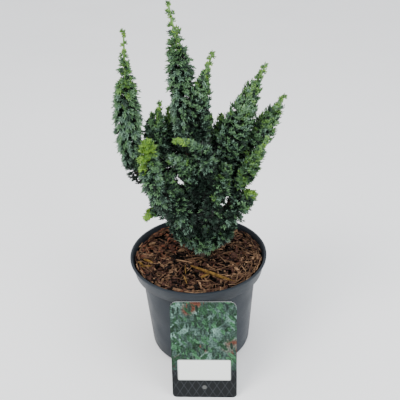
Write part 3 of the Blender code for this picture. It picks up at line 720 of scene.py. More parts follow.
def mixed(tree, factor, first, second, blend="MIX"):
    """A colour mix; each input is a socket or a constant colour."""
    mix = tree.nodes.new("ShaderNodeMix")
    mix.data_type = "RGBA"
    mix.blend_type = blend
    for socket, value in ((mix.inputs[0], factor), (mix.inputs[6], first), (mix.inputs[7], second)):
        if isinstance(value, bpy.types.NodeSocket):
            tree.links.new(value, socket)
        elif isinstance(value, (int, float)):
            socket.default_value = value
        else:
            socket.default_value = (*value, 1.0)
    return mix.outputs[2]


def ranged(tree, value, low, high, out_low=0.0, out_high=1.0):
    """A value remapped from one range to another, clamped."""
    node = tree.nodes.new("ShaderNodeMapRange")
    tree.links.new(value, node.inputs["Value"])
    for socket, number in (("From Min", low), ("From Max", high), ("To Min", out_low),
                           ("To Max", out_high)):
        node.inputs[socket].default_value = number
    return node.outputs["Result"]


def mottle_group():
    """Uneven colour: two colours mixed by broad and fine noise in the object's own space."""
    name = "mottle"
    if name in bpy.data.node_groups:
        return bpy.data.node_groups[name]
    group, start, end = node_group(
        name,
        (("Light", "NodeSocketColor", (1, 1, 1, 1)), ("Dark", "NodeSocketColor", (0, 0, 0, 1)),
         ("Scale", "NodeSocketFloat", 100.0), ("Detail", "NodeSocketFloat", 3.0)),
        (("Colour", "NodeSocketColor"), ("Mask", "NodeSocketFloat")))
    texture = object_noise(group, 100.0)
    group.links.new(start.outputs["Scale"], texture.inputs["Scale"])
    group.links.new(start.outputs["Detail"], texture.inputs["Detail"])
    mask = ranged(group, texture.outputs["Fac"], 0.35, 0.65)
    result = mixed(group, mask, start.outputs["Dark"], start.outputs["Light"])
    group.links.new(result, end.inputs["Colour"])
    group.links.new(mask, end.inputs["Mask"])
    return group


def mottled(tree, light, dark, scale, detail=3.0):
    """Place the mottle group in a material; returns its colour and mask sockets."""
    node = tree.nodes.new("ShaderNodeGroup")
    node.node_tree = mottle_group()
    node.inputs["Light"].default_value = (*light, 1.0)
    node.inputs["Dark"].default_value = (*dark, 1.0)
    node.inputs["Scale"].default_value = scale
    node.inputs["Detail"].default_value = detail
    return node.outputs["Colour"], node.outputs["Mask"]


def shaded(colour_value, factor):
    return tuple(min(1.0, channel * factor) for channel in colour_value)


def new_material(name, roughness, specular=0.5):
    """A material with its Principled shader; returns material, tree and shader."""
    mat = bpy.data.materials.new(name)
    mat.use_nodes = True
    shader = mat.node_tree.nodes["Principled BSDF"]
    shader.inputs["Roughness"].default_value = roughness
    shader.inputs["Specular IOR Level"].default_value = specular
    return mat, mat.node_tree, shader


def bumped(tree, shader, height, strength, distance):
    bump = tree.nodes.new("ShaderNodeBump")
    bump.inputs["Strength"].default_value = strength
    bump.inputs["Distance"].default_value = distance
    tree.links.new(height, bump.inputs["Height"])
    tree.links.new(bump.outputs["Normal"], shader.inputs["Normal"])


def natural_material(name, base, roughness, scale, spread=0.35, grain=900.0, relief=0.0004, specular=0.5):
    """A matt natural surface: mottled colour and a fine grain."""
    mat, tree, shader = new_material(name, roughness, specular)
    result, _ = mottled(tree, shaded(base, 1.0 + spread), shaded(base, 1.0 - spread), scale)
    tree.links.new(result, shader.inputs["Base Color"])
    if relief:
        texture = object_noise(tree, grain)
        bumped(tree, shader, texture.outputs["Fac"], 0.6, relief)
    return mat


# pot

def collar_radius(pot, height):
    """The collar's outer radius at a height above the ground."""
    share = (height - (pot.height - COLLAR_HEIGHT)) / COLLAR_HEIGHT
    return COLLAR_FOOT_RADIUS + share * (pot.lip_radius - LIP_BEAD - COLLAR_FOOT_RADIUS)


def body_radius(pot, height):
    """The body's outer radius below the collar."""
    share = height / (pot.height - COLLAR_HEIGHT)
    return BODY_FOOT_RADIUS + share * (BODY_TOP_RADIUS - BODY_FOOT_RADIUS)


def inner_profile(pot, inset):
    """The pot's inside from the collar's step down to the middle of its floor, by the inset."""
    step = pot.height - COLLAR_HEIGHT + inset
    floor_edge = body_radius(pot, inset + FOOT_ROUND) - inset
    profile = [(collar_radius(pot, step) - inset, step), (body_radius(pot, step) - inset, step)]
    profile += arc(floor_edge - FOOT_ROUND, inset + FOOT_ROUND, FOOT_ROUND, 0, -90, 6)
    return profile + [(0.0, inset)]


def pot_plastic(settings):
    """Recycled moulded plastic: slate grey, faintly cloudy, with fine scuffs."""
    mat, tree, shader = new_material("pot_plastic", 0.45, 0.14)
    result, _ = mottled(tree, shaded(settings.plastic, 1.12), shaded(settings.plastic, 0.90), 28.0)
    scuffs = object_noise(tree, 260.0, 2.0, (1.0, 1.0, 0.12))
    rubbed = ranged(tree, scuffs.outputs["Fac"], 0.62, 0.80, 0.0, 0.35)
    tree.links.new(mixed(tree, rubbed, result, shaded(settings.plastic, 1.7)), shader.inputs["Base Color"])
    sheen = object_noise(tree, 40.0)
    tree.links.new(ranged(tree, sheen.outputs["Fac"], 0.3, 0.7, 0.36, 0.50), shader.inputs["Roughness"])
    grain = object_noise(tree, 1500.0, 2.0)
    bumped(tree, shader, grain.outputs["Fac"], 0.25, 0.0002)
    return mat


def make_pot(settings):
    """The turned shell with rounded lip, collar and foot, and its drain holes."""
    step = settings.height - COLLAR_HEIGHT
    bead_foot = settings.height - LIP_BEAD_HEIGHT
    lip = LIP_BEAD / 2
    profile = list(reversed(inner_profile(settings, settings.wall)))
    profile += [(collar_radius(settings, settings.height) - settings.wall, settings.height - EDGE_ROUND)]
    profile += [(collar_radius(settings, settings.height) - settings.wall + EDGE_ROUND, settings.height)]
    profile += arc(settings.lip_radius - lip, settings.height - lip, lip, 90, 0, 4)
    profile += arc(settings.lip_radius - EDGE_ROUND, bead_foot + EDGE_ROUND, EDGE_ROUND, 0, -90, 2)
    profile += [
        (collar_radius(settings, bead_foot), bead_foot),
        (COLLAR_FOOT_RADIUS, step + EDGE_ROUND),
        (COLLAR_FOOT_RADIUS - EDGE_ROUND, step),
        (body_radius(settings, step), step),
    ]
    profile += arc(body_radius(settings, 0.0) - FOOT_ROUND, FOOT_ROUND, FOOT_ROUND, 0, -90, 8)
    profile += [(0.0, 0.0)]
    bm = bmesh.new()
    spun(bm, profile, POT_SIDES)
    pot = finished("pot_shell", bm, [pot_plastic(settings)], replaces=["pot"],
                   smooth=True)
    cut_drain_holes(pot, settings)


def cut_drain_holes(pot, settings):
    """Six round holes through the floor, cut and applied."""
    bm = bmesh.new()
    for hole in range(DRAIN_HOLES):
        angle = math.tau * (hole + 0.5) / DRAIN_HOLES
        place = Matrix.Translation((DRAIN_RING * math.cos(angle), DRAIN_RING * math.sin(angle), 0.0))
        bmesh.ops.create_cone(bm, cap_ends=True, segments=DRAIN_SIDES, radius1=DRAIN_RADIUS,
                              radius2=DRAIN_RADIUS, depth=6.0 * settings.wall, matrix=place)
    cutter = placed("drain_cutter", mesh_from("drain_cutter", bm))
    cut = pot.modifiers.new("drain", "BOOLEAN")
    cut.operation = "DIFFERENCE"
    cut.object = cutter
    cut.solver = "EXACT"
    bpy.context.view_layer.update()
    graph = bpy.context.evaluated_depsgraph_get()
    whole = bpy.data.meshes.new_from_object(pot.evaluated_get(graph))
    pot.modifiers.clear()
    pot.data = whole
    bpy.data.objects.remove(cutter)


# growing medium

def make_bed(pot, settings):
    """The root ball: fills the pot, with an uneven top under the chips."""
    inset = pot.wall + GAP
    rim = collar_radius(pot, SOIL_LEVEL) - inset
    top = SOIL_LEVEL - BED_SINK
    profile = [(rim * row / BED_ROWS, top) for row in range(BED_ROWS + 1)] + inner_profile(pot, inset)
    bm = bmesh.new()
    spun(bm, profile, BED_SIDES)
    for vert in bm.verts:
        if vert.co.z > top - GAP:
            off_wall = min(1.0, (rim - vert.co.to_2d().length) / BED_EDGE)
            vert.co.z += BED_SWELL * off_wall * noise.noise(vert.co * BED_GRAIN)
    soil = natural_material("damp_soil", shaded(settings.dark, 0.35), 0.9, 160.0, specular=0.08)
    finished("root_ball", bm, [soil], replaces=["growing_medium"])


def chip(bm, rng, size, place, turn, tone):
    """One split piece of bark: a box with tapered, uneven corners."""
    verts = bmesh.ops.create_cube(bm, size=1.0)["verts"]
    for vert in verts:
        for axis, spread in enumerate(CHIP_CORNERS):
            vert.co[axis] *= size[axis] * rng.uniform(*spread)
    bmesh.ops.transform(bm, matrix=Matrix.Translation(place) @ turn, verts=verts)
    painted(verts, tone)


def chip_place(rng, pot, long, wide):
    """An even random place on the mulch off the trunk's foot, and a turn that clears the wall."""
    rim = collar_radius(pot, SOIL_LEVEL) - pot.wall - GAP
    while True:
        reach = (rim - WALL_ROOM * wide) * math.sqrt(rng.random())
        angle = rng.uniform(0.0, math.tau)
        place = Vector((reach * math.cos(angle), reach * math.sin(angle), 0.0))
        if (place - TRUNK_FOOT.to_2d().to_3d()).length > FLARE_RADIUS:
            break
    turn = rng.uniform(0.0, math.tau)
    if reach > rim - ALONG_WALL_FROM * long:
        turn = angle + math.pi / 2 + rng.uniform(-ALONG_WALL_TURN, ALONG_WALL_TURN)
    pile = PILE_HEIGHT * max(0.0, reach / rim - PILE_FROM) / (1.0 - PILE_FROM)
    place.z = pile * (1.0 - PILE_FRONT * math.sin(angle))
    return place, turn


def splinter(bm, long, wide, place, turn, tone):
    """A thin splinter that tapers to both ends."""
    verts = bmesh.ops.create_uvsphere(bm, u_segments=6, v_segments=6, radius=0.5)["verts"]
    size = Matrix.Diagonal((wide, SPLINTER_THICKNESS * wide, long, 1.0))
    matrix = Matrix.Translation(place) @ turn @ Matrix.Rotation(math.pi / 2, 4, "Y") @ size
    bmesh.ops.transform(bm, matrix=matrix, verts=verts)
    painted(verts, tone)


def chip_tone(rng, place, shares):
    """Tone of a chip: redder bark with painted light from the left at the left back, and drier bark on the
    right.
    """
    # fresh: how far a chip lies in the left back, where it is partly redder bark and partly painted light
    # from the left
    fresh = clamped((-place.x - LIT_RED_LEFT) / LIT_RED_BLEND) * clamped((place.y - LIT_RED_BACK) / LIT_RED_BLEND)
    dry = clamped((place.x - DRY_RIGHT) / DRY_BLEND)
    shares = [share * (1.0 + by_lit_red * fresh + by_dry * dry)
              for share, (by_lit_red, by_dry) in zip(shares, TONE_GAINS)]
    shares.append(RUST_SHARE + RUST_GAIN * fresh)
    return rng.choices((DARK_BARK, RED_BARK, TAN_WOOD, PALE_WOOD, RUST_BARK), shares)[0]


def make_mulch(pot, settings):
    """Bark chips in layers, finer shreds over them, and a few longer splinters."""
    rng = random.Random(SEED)
    tones = [natural_material("bark_" + word, getattr(settings, word), 0.85, 260.0, 0.40, specular=0.12)
             for word in BARK_NAMES]
    bm = bmesh.new()
    for count in range(settings.chips):
        layer = count / settings.chips
        long = rng.uniform(*CHIP_LENGTH) * (1.0 - CHIP_TOP_FINENESS * layer)
        wide = long * rng.uniform(*CHIP_WIDTH)
        place, spin = chip_place(rng, pot, long, wide)
        place.z += SOIL_LEVEL - CHIP_SINK + CHIP_DEPTH * layer
        turn = turned(rng.gauss(0, CHIP_TILT), rng.gauss(0, CHIP_TILT), spin)
        tone = chip_tone(rng, place, CHIP_SHARES)
        chip(bm, rng, (long, wide, rng.uniform(*CHIP_THICKNESS)), place, turn, tone)
    for _ in range(settings.shreds):
        long = rng.uniform(*SHRED_LENGTH)
        place, spin = chip_place(rng, pot, long, SHRED_ROOM)
        place.z += SOIL_LEVEL + rng.uniform(*SHRED_HEIGHT)
        turn = turned(rng.gauss(0, SHRED_ROLL), rng.gauss(0, SHRED_TILT), spin)
        tone = chip_tone(rng, place, SHRED_SHARES)
        chip(bm, rng, (long, rng.uniform(*SHRED_WIDTH), SHRED_THICKNESS), place, turn, tone)
    for across, along, long, wide, angle, tone in SPLINTERS:
        place = Vector((across, along, SOIL_LEVEL + SPLINTER_HEIGHT))
        splinter(bm, long, wide, place, turned(0.0, SPLINTER_TILT, math.radians(angle)), tone)
    finished("bark_mulch", bm, tones)


# plant card

def card_matrix(pot):
    """From the card's own plane, foot at the middle, to its place leaning on the collar."""
    lean = math.asin(CARD_TOP_HEIGHT / CARD_HEIGHT)
    back_top = -(collar_radius(pot, CARD_TOP_HEIGHT) + GAP) - CARD_THICKNESS
    foot_y = back_top - CARD_HEIGHT * math.cos(lean)
    lift = CARD_THICKNESS / 2 * math.cos(lean)
    place = Matrix.Translation((CARD_CENTRE_X, foot_y, lift))
    return place @ turned(lean, 0.0, CARD_TURN)


def make_card(pot, settings):
    """A thin card with rounded corners; one side is printed, the rest is white."""
    bm = bmesh.new()
    middle = Matrix.Translation((0.0, CARD_HEIGHT / 2, 0.0))
    spread = Matrix.Diagonal((CARD_WIDTH / 2, CARD_HEIGHT / 2, 1.0, 1.0))
    bmesh.ops.create_grid(bm, x_segments=1, y_segments=1, size=1.0, matrix=middle @ spread)
    for edge, radius in ((CARD_HEIGHT, CARD_TOP_ROUND), (0.0, CARD_FOOT_ROUND)):
        corners = [vert for vert in bm.verts
                   if abs(vert.co.y - edge) < GAP and abs(vert.co.x) > CARD_WIDTH / 2 - GAP]
        bmesh.ops.bevel(bm, geom=corners, offset=radius, offset_type="OFFSET", segments=CARD_ROUND_STEPS,
                        profile=0.5, affect="VERTICES", material=-1)
    uv = bm.loops.layers.uv.new("card")
    for face in bm.faces:
        face.material_index = 1
        for loop in face.loops:
            loop[uv].uv = (loop.vert.co.x / CARD_HEIGHT, loop.vert.co.y / CARD_HEIGHT)
    front = bm.faces[:]
    for vert in bm.verts:
        vert.co.z = CARD_THICKNESS / 2
    back = bmesh.ops.extrude_face_region(bm, geom=front, use_keep_orig=True)["geom"]
    back_verts = [item for item in back if isinstance(item, bmesh.types.BMVert)]
    bmesh.ops.translate(bm, verts=back_verts, vec=(0.0, 0.0, -CARD_THICKNESS))
    for face in bm.faces:
        if face not in front:
            face.material_index = 0
    bmesh.ops.recalc_face_normals(bm, faces=bm.faces[:])
    bmesh.ops.transform(bm, matrix=card_matrix(pot), verts=bm.verts[:])
    white = natural_material("card_white", CARD_WHITE, 0.35, 90.0, 0.03, relief=0.0)
    finished("card_print", bm, [white, card_face(settings)],
             replaces=["plant_card"])


def card_place(tree, scale=(1.0, 1.0, 1.0), turn=0.0):
    """Place on the card in metres from the middle of its foot, turned and then scaled."""
    coords = tree.nodes.new("ShaderNodeUVMap")
    coords.uv_map = "card"
    mapping = tree.nodes.new("ShaderNodeMapping")
    mapping.vector_type = "TEXTURE"
    mapping.inputs["Rotation"].default_value = (0.0, 0.0, turn)
    mapping.inputs["Scale"].default_value = tuple(1.0 / (CARD_HEIGHT * value) for value in scale)
    tree.links.new(coords.outputs["UV"], mapping.inputs["Vector"])
    return mapping.outputs["Vector"]


def rounded_mask(tree, height, half, corner, soft=0.0003):
    """One inside a box with round corners, centred at a height on the card; nought outside."""
    vector = card_place(tree)
    inner = (half[0] - corner, half[1] - corner, 0.0)
    for operation, value in (("SUBTRACT", (0.0, height, 0.0)), ("ABSOLUTE", None), ("SUBTRACT", inner),
                             ("MAXIMUM", (0.0, 0.0, 0.0)), ("LENGTH", None)):
        node = tree.nodes.new("ShaderNodeVectorMath")
        node.operation = operation
        tree.links.new(vector, node.inputs[0])
        if value is not None:
            node.inputs[1].default_value = value
        vector = node.outputs[0]
    return ranged(tree, node.outputs[1], corner - soft, corner + soft, 1.0, 0.0)


def leaf_layer(tree, under, turn, scale, light, dark):
    """Lay leaf shapes of one size and turn over a colour; returns the new colour."""
    leaves = tree.nodes.new("ShaderNodeTexVoronoi")
    leaves.inputs["Scale"].default_value = scale
    tree.links.new(card_place(tree, (2.2, 0.8, 1.0), turn), leaves.inputs["Vector"])
    tone = mixed(tree, leaves.outputs["Color"], dark, light)
    return mixed(tree, ranged(tree, leaves.outputs["Distance"], 0.40, 0.50), tone, under)


def card_noise(tree, scale, turn=0.0):
    """A noise texture over the card; returns its value socket."""
    texture = tree.nodes.new("ShaderNodeTexNoise")
    texture.inputs["Scale"].default_value = scale
    tree.links.new(card_place(tree, turn=turn), texture.inputs["Vector"])
    return texture.outputs["Fac"]


def leaf_pattern(tree, settings):
    """A generic pattern of leaves in three directions over a soft, clouded ground."""
    cloud = ranged(tree, card_noise(tree, 32.0), 0.36, 0.64)
    result = mixed(tree, cloud, shaded(settings.ground, 0.25), shaded(settings.ground, 3.6))
    warm = ranged(tree, card_noise(tree, 21.0, turn=1.0), 0.54, 0.62)
    result = mixed(tree, warm, result, settings.rust)
    for turn, scale, word, light, dark in LEAF_LAYERS:
        result = leaf_layer(tree, result, turn, scale, shaded(getattr(settings, word), light),
                            shaded(settings.leaf, dark))
    ink = ranged(tree, card_noise(tree, 480.0), 0.38, 0.62, 0.42, 1.0)
    return mixed(tree, 1.0, result, ink, "MULTIPLY")


def band_pattern(tree, settings):
    """Faint slanting lines that cross on the dark band."""
    result = settings.band
    for turn in (0.55, -0.55):
        lines = tree.nodes.new("ShaderNodeTexWave")
        lines.wave_type = "BANDS"
        lines.inputs["Scale"].default_value = 38.0
        tree.links.new(card_place(tree, turn=turn), lines.inputs["Vector"])
        faint = ranged(tree, lines.outputs["Fac"], 0.96, 1.0, 0.0, 0.6)
        result = mixed(tree, faint, result, shaded(settings.band, 5.0))
    return result


def card_face(settings):
    """The printed side: leaves above, a dark band below, and a bare pale field with a thin edge."""
    mat, tree, shader = new_material("card_face", 0.35, 0.12)
    band = rounded_mask(tree, BAND_TOP - 0.5, (1.0, 0.5), 0.001)
    face = mixed(tree, band, leaf_pattern(tree, settings), band_pattern(tree, settings))
    dot = rounded_mask(tree, DOT_HEIGHT, (DOT_RADIUS, DOT_RADIUS), DOT_RADIUS)
    face = mixed(tree, dot, face, shaded(settings.panel, 0.12))
    edge = rounded_mask(tree, FIELD_MIDDLE, FIELD_HALF, FIELD_CORNER)
    face = mixed(tree, edge, face, shaded(settings.panel, 0.72))
    inside = (FIELD_HALF[0] - FIELD_EDGE, FIELD_HALF[1] - FIELD_EDGE)
    field = rounded_mask(tree, FIELD_MIDDLE, inside, FIELD_CORNER - FIELD_EDGE / 2)
    tree.links.new(mixed(tree, field, face, settings.panel), shader.inputs["Base Color"])
    return mat


# trunk and boughs

def flare(height):
    """One at the soil, falling to nought at the top of the root flare."""
    return max(0.0, 1.0 - (height - TRUNK_FOOT.z) / FLARE_HEIGHT)


def trunk_radius(height):
    """True taper, with a flare that dies away just over the soil."""
    share = (height - TRUNK_FOOT.z) / (TRUNK_TIP.z - TRUNK_FOOT.z)
    radius = TRUNK_RADIUS + share * (TRUNK_TIP_RADIUS - TRUNK_RADIUS)
    return radius + (FLARE_RADIUS - TRUNK_RADIUS) * flare(height) ** 2


def trunk_axis():
    return bezier(TRUNK_FOOT, TRUNK_KNEE, TRUNK_TIP, AXIS_POINTS)


def beside(points, height):
    """The point of an upright line that is nearest to a height."""
    return min(points, key=lambda point: abs(point.z - height))


def has_bough(mass):
    return mass.start is not None and mass.foot is not None


def axis_points(mass):
    """The axis of a mass; one that sits on the trunk starts at the trunk's own axis."""
    foot = beside(trunk_axis(), mass.start) if mass.foot is None else mass.foot
    return bezier(foot, mass.knee, mass.tip, AXIS_POINTS)


def bough_path(mass, count):
    """From the trunk's axis out and up to the foot of the mass, ending along its axis."""
    root = beside(trunk_axis(), mass.start)
    foot = Vector(mass.foot)
    heading = (Vector(mass.knee) - foot).normalized()
    end = foot - GAP * heading
    pull = end - BOUGH_PULL * (end - root).length * heading
    return bezier(root, pull, end, count)


def bough_radius(share):
    return BOUGH_RADIUS + share * (BOUGH_TIP_RADIUS - BOUGH_RADIUS)


def bark_noise(angle, height, across, along):
    """Noise at a place on a limb, by its scale round the limb and along it."""
    return noise.noise(Vector((across * math.cos(angle), across * math.sin(angle), along * height)))


def bark_relief(angle, height, depth):
    """Stringy ridges that run up the limb and part now and then."""
    ridges = bark_noise(angle, height, *RIDGE_NOISE)
    flakes = bark_noise(angle, height, *FLAKE_NOISE)
    return 1.0 + depth * (ridges + FLAKE_SHARE * flakes)


def bark_rings(points, radii, sides, depth):
    """Rings with bark relief; the ridges follow the limb's own length."""
    def relief(angle, point):
        lobe = 1.0 + FLARE_LOBE_DEPTH * flare(point.z) * math.cos(FLARE_LOBES * angle)
        return lobe * bark_relief(angle, point.z, depth)

    return round_rings(points, radii, sides, relief)


def bark_material():
    """Thin, stringy, grey-brown bark with reddish seams."""
    mat, tree, shader = new_material("bark", 0.85, 0.3)
    strips = object_noise(tree, 420.0, 4.0, (1.0, 1.0, 0.22))
    brown = mixed(tree, ranged(tree, strips.outputs["Fac"], 0.35, 0.65), BARK_SEAM, BARK_RIDGE)
    _, patches = mottled(tree, (1, 1, 1), (0, 0, 0), 60.0)
    faded = ranged(tree, patches, 0.0, 1.0, 0.0, 0.45)
    tree.links.new(mixed(tree, faded, brown, BARK_FADED), shader.inputs["Base Color"])
    bumped(tree, shader, strips.outputs["Fac"], 0.8, 0.0006)
    return mat


def make_trunk():
    points = trunk_axis()
    radii = [trunk_radius(point.z) for point in points]
    bm = bmesh.new()
    loft(bm, bark_rings(points, radii, TRUNK_SIDES, TRUNK_RELIEF))
    for vert in bm.verts:
        vert.co.z = max(vert.co.z, TRUNK_FOOT.z)
    finished("trunk_bark", bm, [bark_material()], replaces=["trunk"], smooth=True)


def make_boughs():
    """Every bough with bark relief, joined in one piece."""
    bm = bmesh.new()
    masses = [mass for mass in MASSES if has_bough(mass)]
    for mass in masses:
        points = bough_path(mass, BOUGH_POINTS)
        radii = [bough_radius(at / (len(points) - 1)) for at in range(len(points))]
        loft(bm, bark_rings(points, radii, BOUGH_SIDES, BOUGH_RELIEF))
    finished("boughs_bark", bm, [bark_material()],
             replaces=["bough_" + mass.name for mass in masses], smooth=True)


# foliage

def girth_share(share):
    """Outline of a mass along its dense part: full low down, drawn in at the top."""
    if share < FULLEST_AT:
        return FOOT_FULLNESS + (1.0 - FOOT_FULLNESS) * math.sin(math.pi / 2 * share / FULLEST_AT)
    return 1.0 - TOP_DRAW_IN * ((share - FULLEST_AT) / (1.0 - FULLEST_AT)) ** DRAW_IN_POWER


class Space:
    """Splits the crown between the masses, each point to the axis nearest in girths."""

    def __init__(self, masses):
        self.axes = np.array([axis_points(mass) for mass in masses])
        self.girths = np.array([mass.girth for mass in masses])
        self.trunk = trunk_axis()
        self.gaps = []
        for place, half_width in SKY_GAPS:
            sight = (Vector(place) - Vector(CAMERA_PLACE)).normalized()
            self.gaps.append((Vector(CAMERA_PLACE), sight, half_width))

    def in_gap(self, point, fullness=1.0):
        """True where a point stands in one of the gaps that show the sky."""
        return any((point - start).cross(sight).length < fullness * half
                   for start, sight, half in self.gaps)

    def painted_shade_share(self, place):
        """Share of sprays painted in shade at a place: most low down, close to the trunk and in the recess.
        """
        if place.z < LIT_FOOT:
            return LIT_FOOT_SHARE
        if place.z < RECESS_TOP and abs(place.x - RECESS_MIDDLE) < RECESS_HALF:
            return RECESS_SHADE_SHARE
        height = clamped((place.z - PAINTED_SHADE_FOOT) / PAINTED_SHADE_HEIGHT)
        away = clamped((place - beside(self.trunk, place.z)).length / PAINTED_SHADE_WIDTH)
        return DEEPEST_SHADE * (1.0 - 0.5 * height - 0.5 * away)

    def owned(self, points, index):
        """True where every point lies in the mass's own space or just past its edge."""
        points = np.asarray(points)
        away = np.linalg.norm(points[:, None, None, :] - self.axes[None], axis=3).min(axis=2)
        near = away / self.girths
        lead = near - near[:, index:index + 1] + SPACE_OVERRUN
        lead[:, index] = 1.0
        away = np.linalg.norm(points[:, :2] - np.array(TRUNK_FOOT[:2]), axis=1)
        skirt = SOIL_LEVEL + SKIRT_HEIGHT + SKIRT_RISE * np.maximum(0.0, away - SKIRT_FROM)
        return (lead > 0.0).all() and (points[:, 2] > skirt).all()


class Axis:
    """The axis of a mass with the frame along it and the length of its dense part."""

    def __init__(self, mass):
        self.points = axis_points(mass)
        self.frames = frames(self.points)
        runs = [(b - a).length for a, b in zip(self.points, self.points[1:])]
        self.lengths = list(accumulate(runs, initial=0.0))
        self.dense = self.lengths[-1] - mass.leader

    def at(self, along):
        """The point, its tangent and its two normals at a length from the foot."""
        index = min(len(self.points) - 1, bisect_left(self.lengths, along))
        return self.points[index], *self.frames[index]


def add_shoot(bm, foot, tip, side, width, thick, tone):
    """One scaly shoot: a three-sided cone, point at the root, its base leant into a blunt tip."""
    run = (tip - foot).length
    cone = Matrix((
        (width / math.sqrt(3.0), 0.0, 0.0, 0.0),
        (0.0, thick, 0.0, 0.0),
        (0.0, SHOOT_LEAN * run, (1.0 - SHOOT_LEAN) * run, (1.0 - SHOOT_LEAN) / 2 * run),
        (0.0, 0.0, 0.0, 1.0),
    ))
    turn = facing((tip - foot).normalized(), side)
    made = bmesh.ops.create_cone(bm, cap_ends=True, segments=3, radius1=0.0, radius2=1.0, depth=1.0,
                                 matrix=Matrix.Translation(foot) @ turn @ cone)
    painted(made["verts"], tone)


def spray_shape(fingers, rng):
    """A spray one unit long: a thin rib, side fingers in two ranks and a fan of three at its end.

    Material slot 1 marks the fingers, which take the spray's own tone, and slot 0 the rib, which takes a
    darker tone as painted shade at the spray's root.
    """
    bm = bmesh.new()
    add_shoot(bm, Vector((0, 0, 0)), Vector((0, 0, RIB_LENGTH)), Vector((1, 0, 0)), RIB_WIDTH,
              RIB_THICKNESS, 0)
    places = list(FAN_FINGERS)
    for step in range(fingers):
        hand = -1.0 if step % 2 else 1.0
        up = SIDE_FROM + SIDE_REACH * step / fingers
        places.append((up, hand * rng.uniform(*SIDE_TURN), SIDE_LENGTH))
    for up, spread, run in places:
        lift = rng.uniform(-FINGER_LIFT, FINGER_LIFT)
        heading = Vector((math.sin(spread), lift, math.cos(spread))).normalized()
        foot = Vector((0.0, 0.0, up))
        tip = foot + run * rng.uniform(*FINGER_SPREAD) * heading
        flat = Vector((math.cos(spread), rng.uniform(-FINGER_TWIST, FINGER_TWIST), -math.sin(spread)))
        add_shoot(bm, foot, tip, flat, FINGER_WIDTH * rng.uniform(*FINGER_SPREAD), FINGER_THICKNESS, 1)
    bmesh.ops.recalc_face_normals(bm, faces=bm.faces[:])
    return bm


def spray_meshes():
    """Sprays of several shapes in each tone, as meshes to be dealt out; the last shapes are plainer."""
    rng = random.Random(SEED)
    shapes = []
    for fingers in SPRAY_FINGERS:
        bm = spray_shape(fingers, rng)
        tones = []
        for tone, root_shade_tone in enumerate(ROOT_SHADE_TONES):
            mesh = bpy.data.meshes.new("spray")
            bm.to_mesh(mesh)
            for face in mesh.polygons:
                # the rib takes a darker tone: painted shade at the spray's root
                face.material_index = tone if face.material_index else root_shade_tone
            tones.append(mesh)
        bm.free()
        shapes.append(tones)
    return shapes


def leaf_materials(settings):
    """One waxy leaf material for each tone."""
    mats = []
    for word in TONE_NAMES:
        base = getattr(settings, word)
        mat, tree, shader = new_material("leaf_" + word, roughness=0.50, specular=0.35)
        result, _ = mottled(tree, shaded(base, 1.30), shaded(base, 0.72), scale=190.0, detail=2.0)
        tree.links.new(result, shader.inputs["Base Color"])
        mats.append(mat)
    return mats


class Grower:
    """Grows twigs and sprays into one mesh of leaves and one of wood."""

    def __init__(self, mass, settings, shapes, space, index, free=False):
        self.mass = mass
        self.free = free
        self.settings = settings
        self.shapes = shapes
        self.space = space
        self.index = index
        self.rng = random.Random(SEED + 100 * index)
        self.leaves = bmesh.new()
        self.wood = bmesh.new()

    def tone(self, root, depth, share, young, out):
        """Tone of a spray by its place in the crown and the mass, its twig's age and its side; sprays
        inside the crown, low down, near the trunk and in the front recess get dark tones as painted shade.
        """
        rng = self.rng
        lime_from = LIME_TIPS.get(self.mass.name)
        if lime_from is not None and depth > LIME_DEPTH:
            past = (share - lime_from - LIME_LEAN * out.x) / LIME_BLEND
            if past > rng.random():
                return drawn(rng, LIME_MIX)
        if young:
            return drawn(rng, YOUNG_MIX if depth > SHADE_DEPTH else YOUNG_INNER_MIX)
        if depth < SHADE_DEPTH or self.mass.name in SHADED:
            return drawn(rng, INNER_SHADE_MIX)
        if depth < MIXED_DEPTH:
            return drawn(rng, MIDDLE_SHADE_MIX)
        painted_shade_share = self.space.painted_shade_share(root)
        if rng.random() < painted_shade_share:
            return drawn(rng, {DEEP_SHADE: PAINTED_SHADE_DARKEST * painted_shade_share, SHADE: 1.0})
        green = LOW_GREEN + GREEN_GAIN * share
        return drawn(rng, {SHADE: OUTER_SHADE, BLUE: OUTER_BLUE_GREEN - green, GREEN: green})

    def spray(self, root, heading, side, size, tone, plain=False, stout=1.0):
        """Set a spray at a root, shorter where it would leave the mass's space."""
        heading = heading.normalized()
        ragged = self.rng.uniform(*GAP_EDGE)
        near_tip = root + SPRAY_OVERHANG * size * heading
        if self.space.in_gap(root, ragged) or self.space.in_gap(near_tip, ragged):
            return
        for _ in range(SPRAY_TRIES):
            reached = [root + SPRAY_MIDDLE * size * heading, root + size * heading]
            if self.free or self.space.owned(reached, self.index):
                break
            size *= SPRAY_SHRINK
        else:
            return
        shape = self.rng.choice(self.shapes[PLAIN_FROM:] if plain else self.shapes[:PLAIN_FROM])
        copy = shape[tone].copy()
        scaled = Matrix.Diagonal((stout * size, stout * size, size, 1.0))
        copy.transform(Matrix.Translation(root) @ facing(heading, side) @ scaled)
        self.leaves.from_mesh(copy)
        bpy.data.meshes.remove(copy)

    def twig(self, points):
        """A thin twig along a few points, tapering from cone to cone."""
        if any(self.space.in_gap(point) for point in points):
            return
        for at, (foot, tip) in enumerate(zip(points, points[1:])):
            start = TWIG_RADIUS * (1.0 - TWIG_TAPER * at / (len(points) - 1))
            stop = TWIG_RADIUS * (1.0 - TWIG_TAPER * (at + 1) / (len(points) - 1))
            turn = (tip - foot).to_track_quat("Z", "Y").to_matrix().to_4x4()
            bmesh.ops.create_cone(self.wood, cap_ends=True, segments=3, radius1=start, radius2=stop,
                                  depth=(tip - foot).length,
                                  matrix=Matrix.Translation((foot + tip) / 2) @ turn)


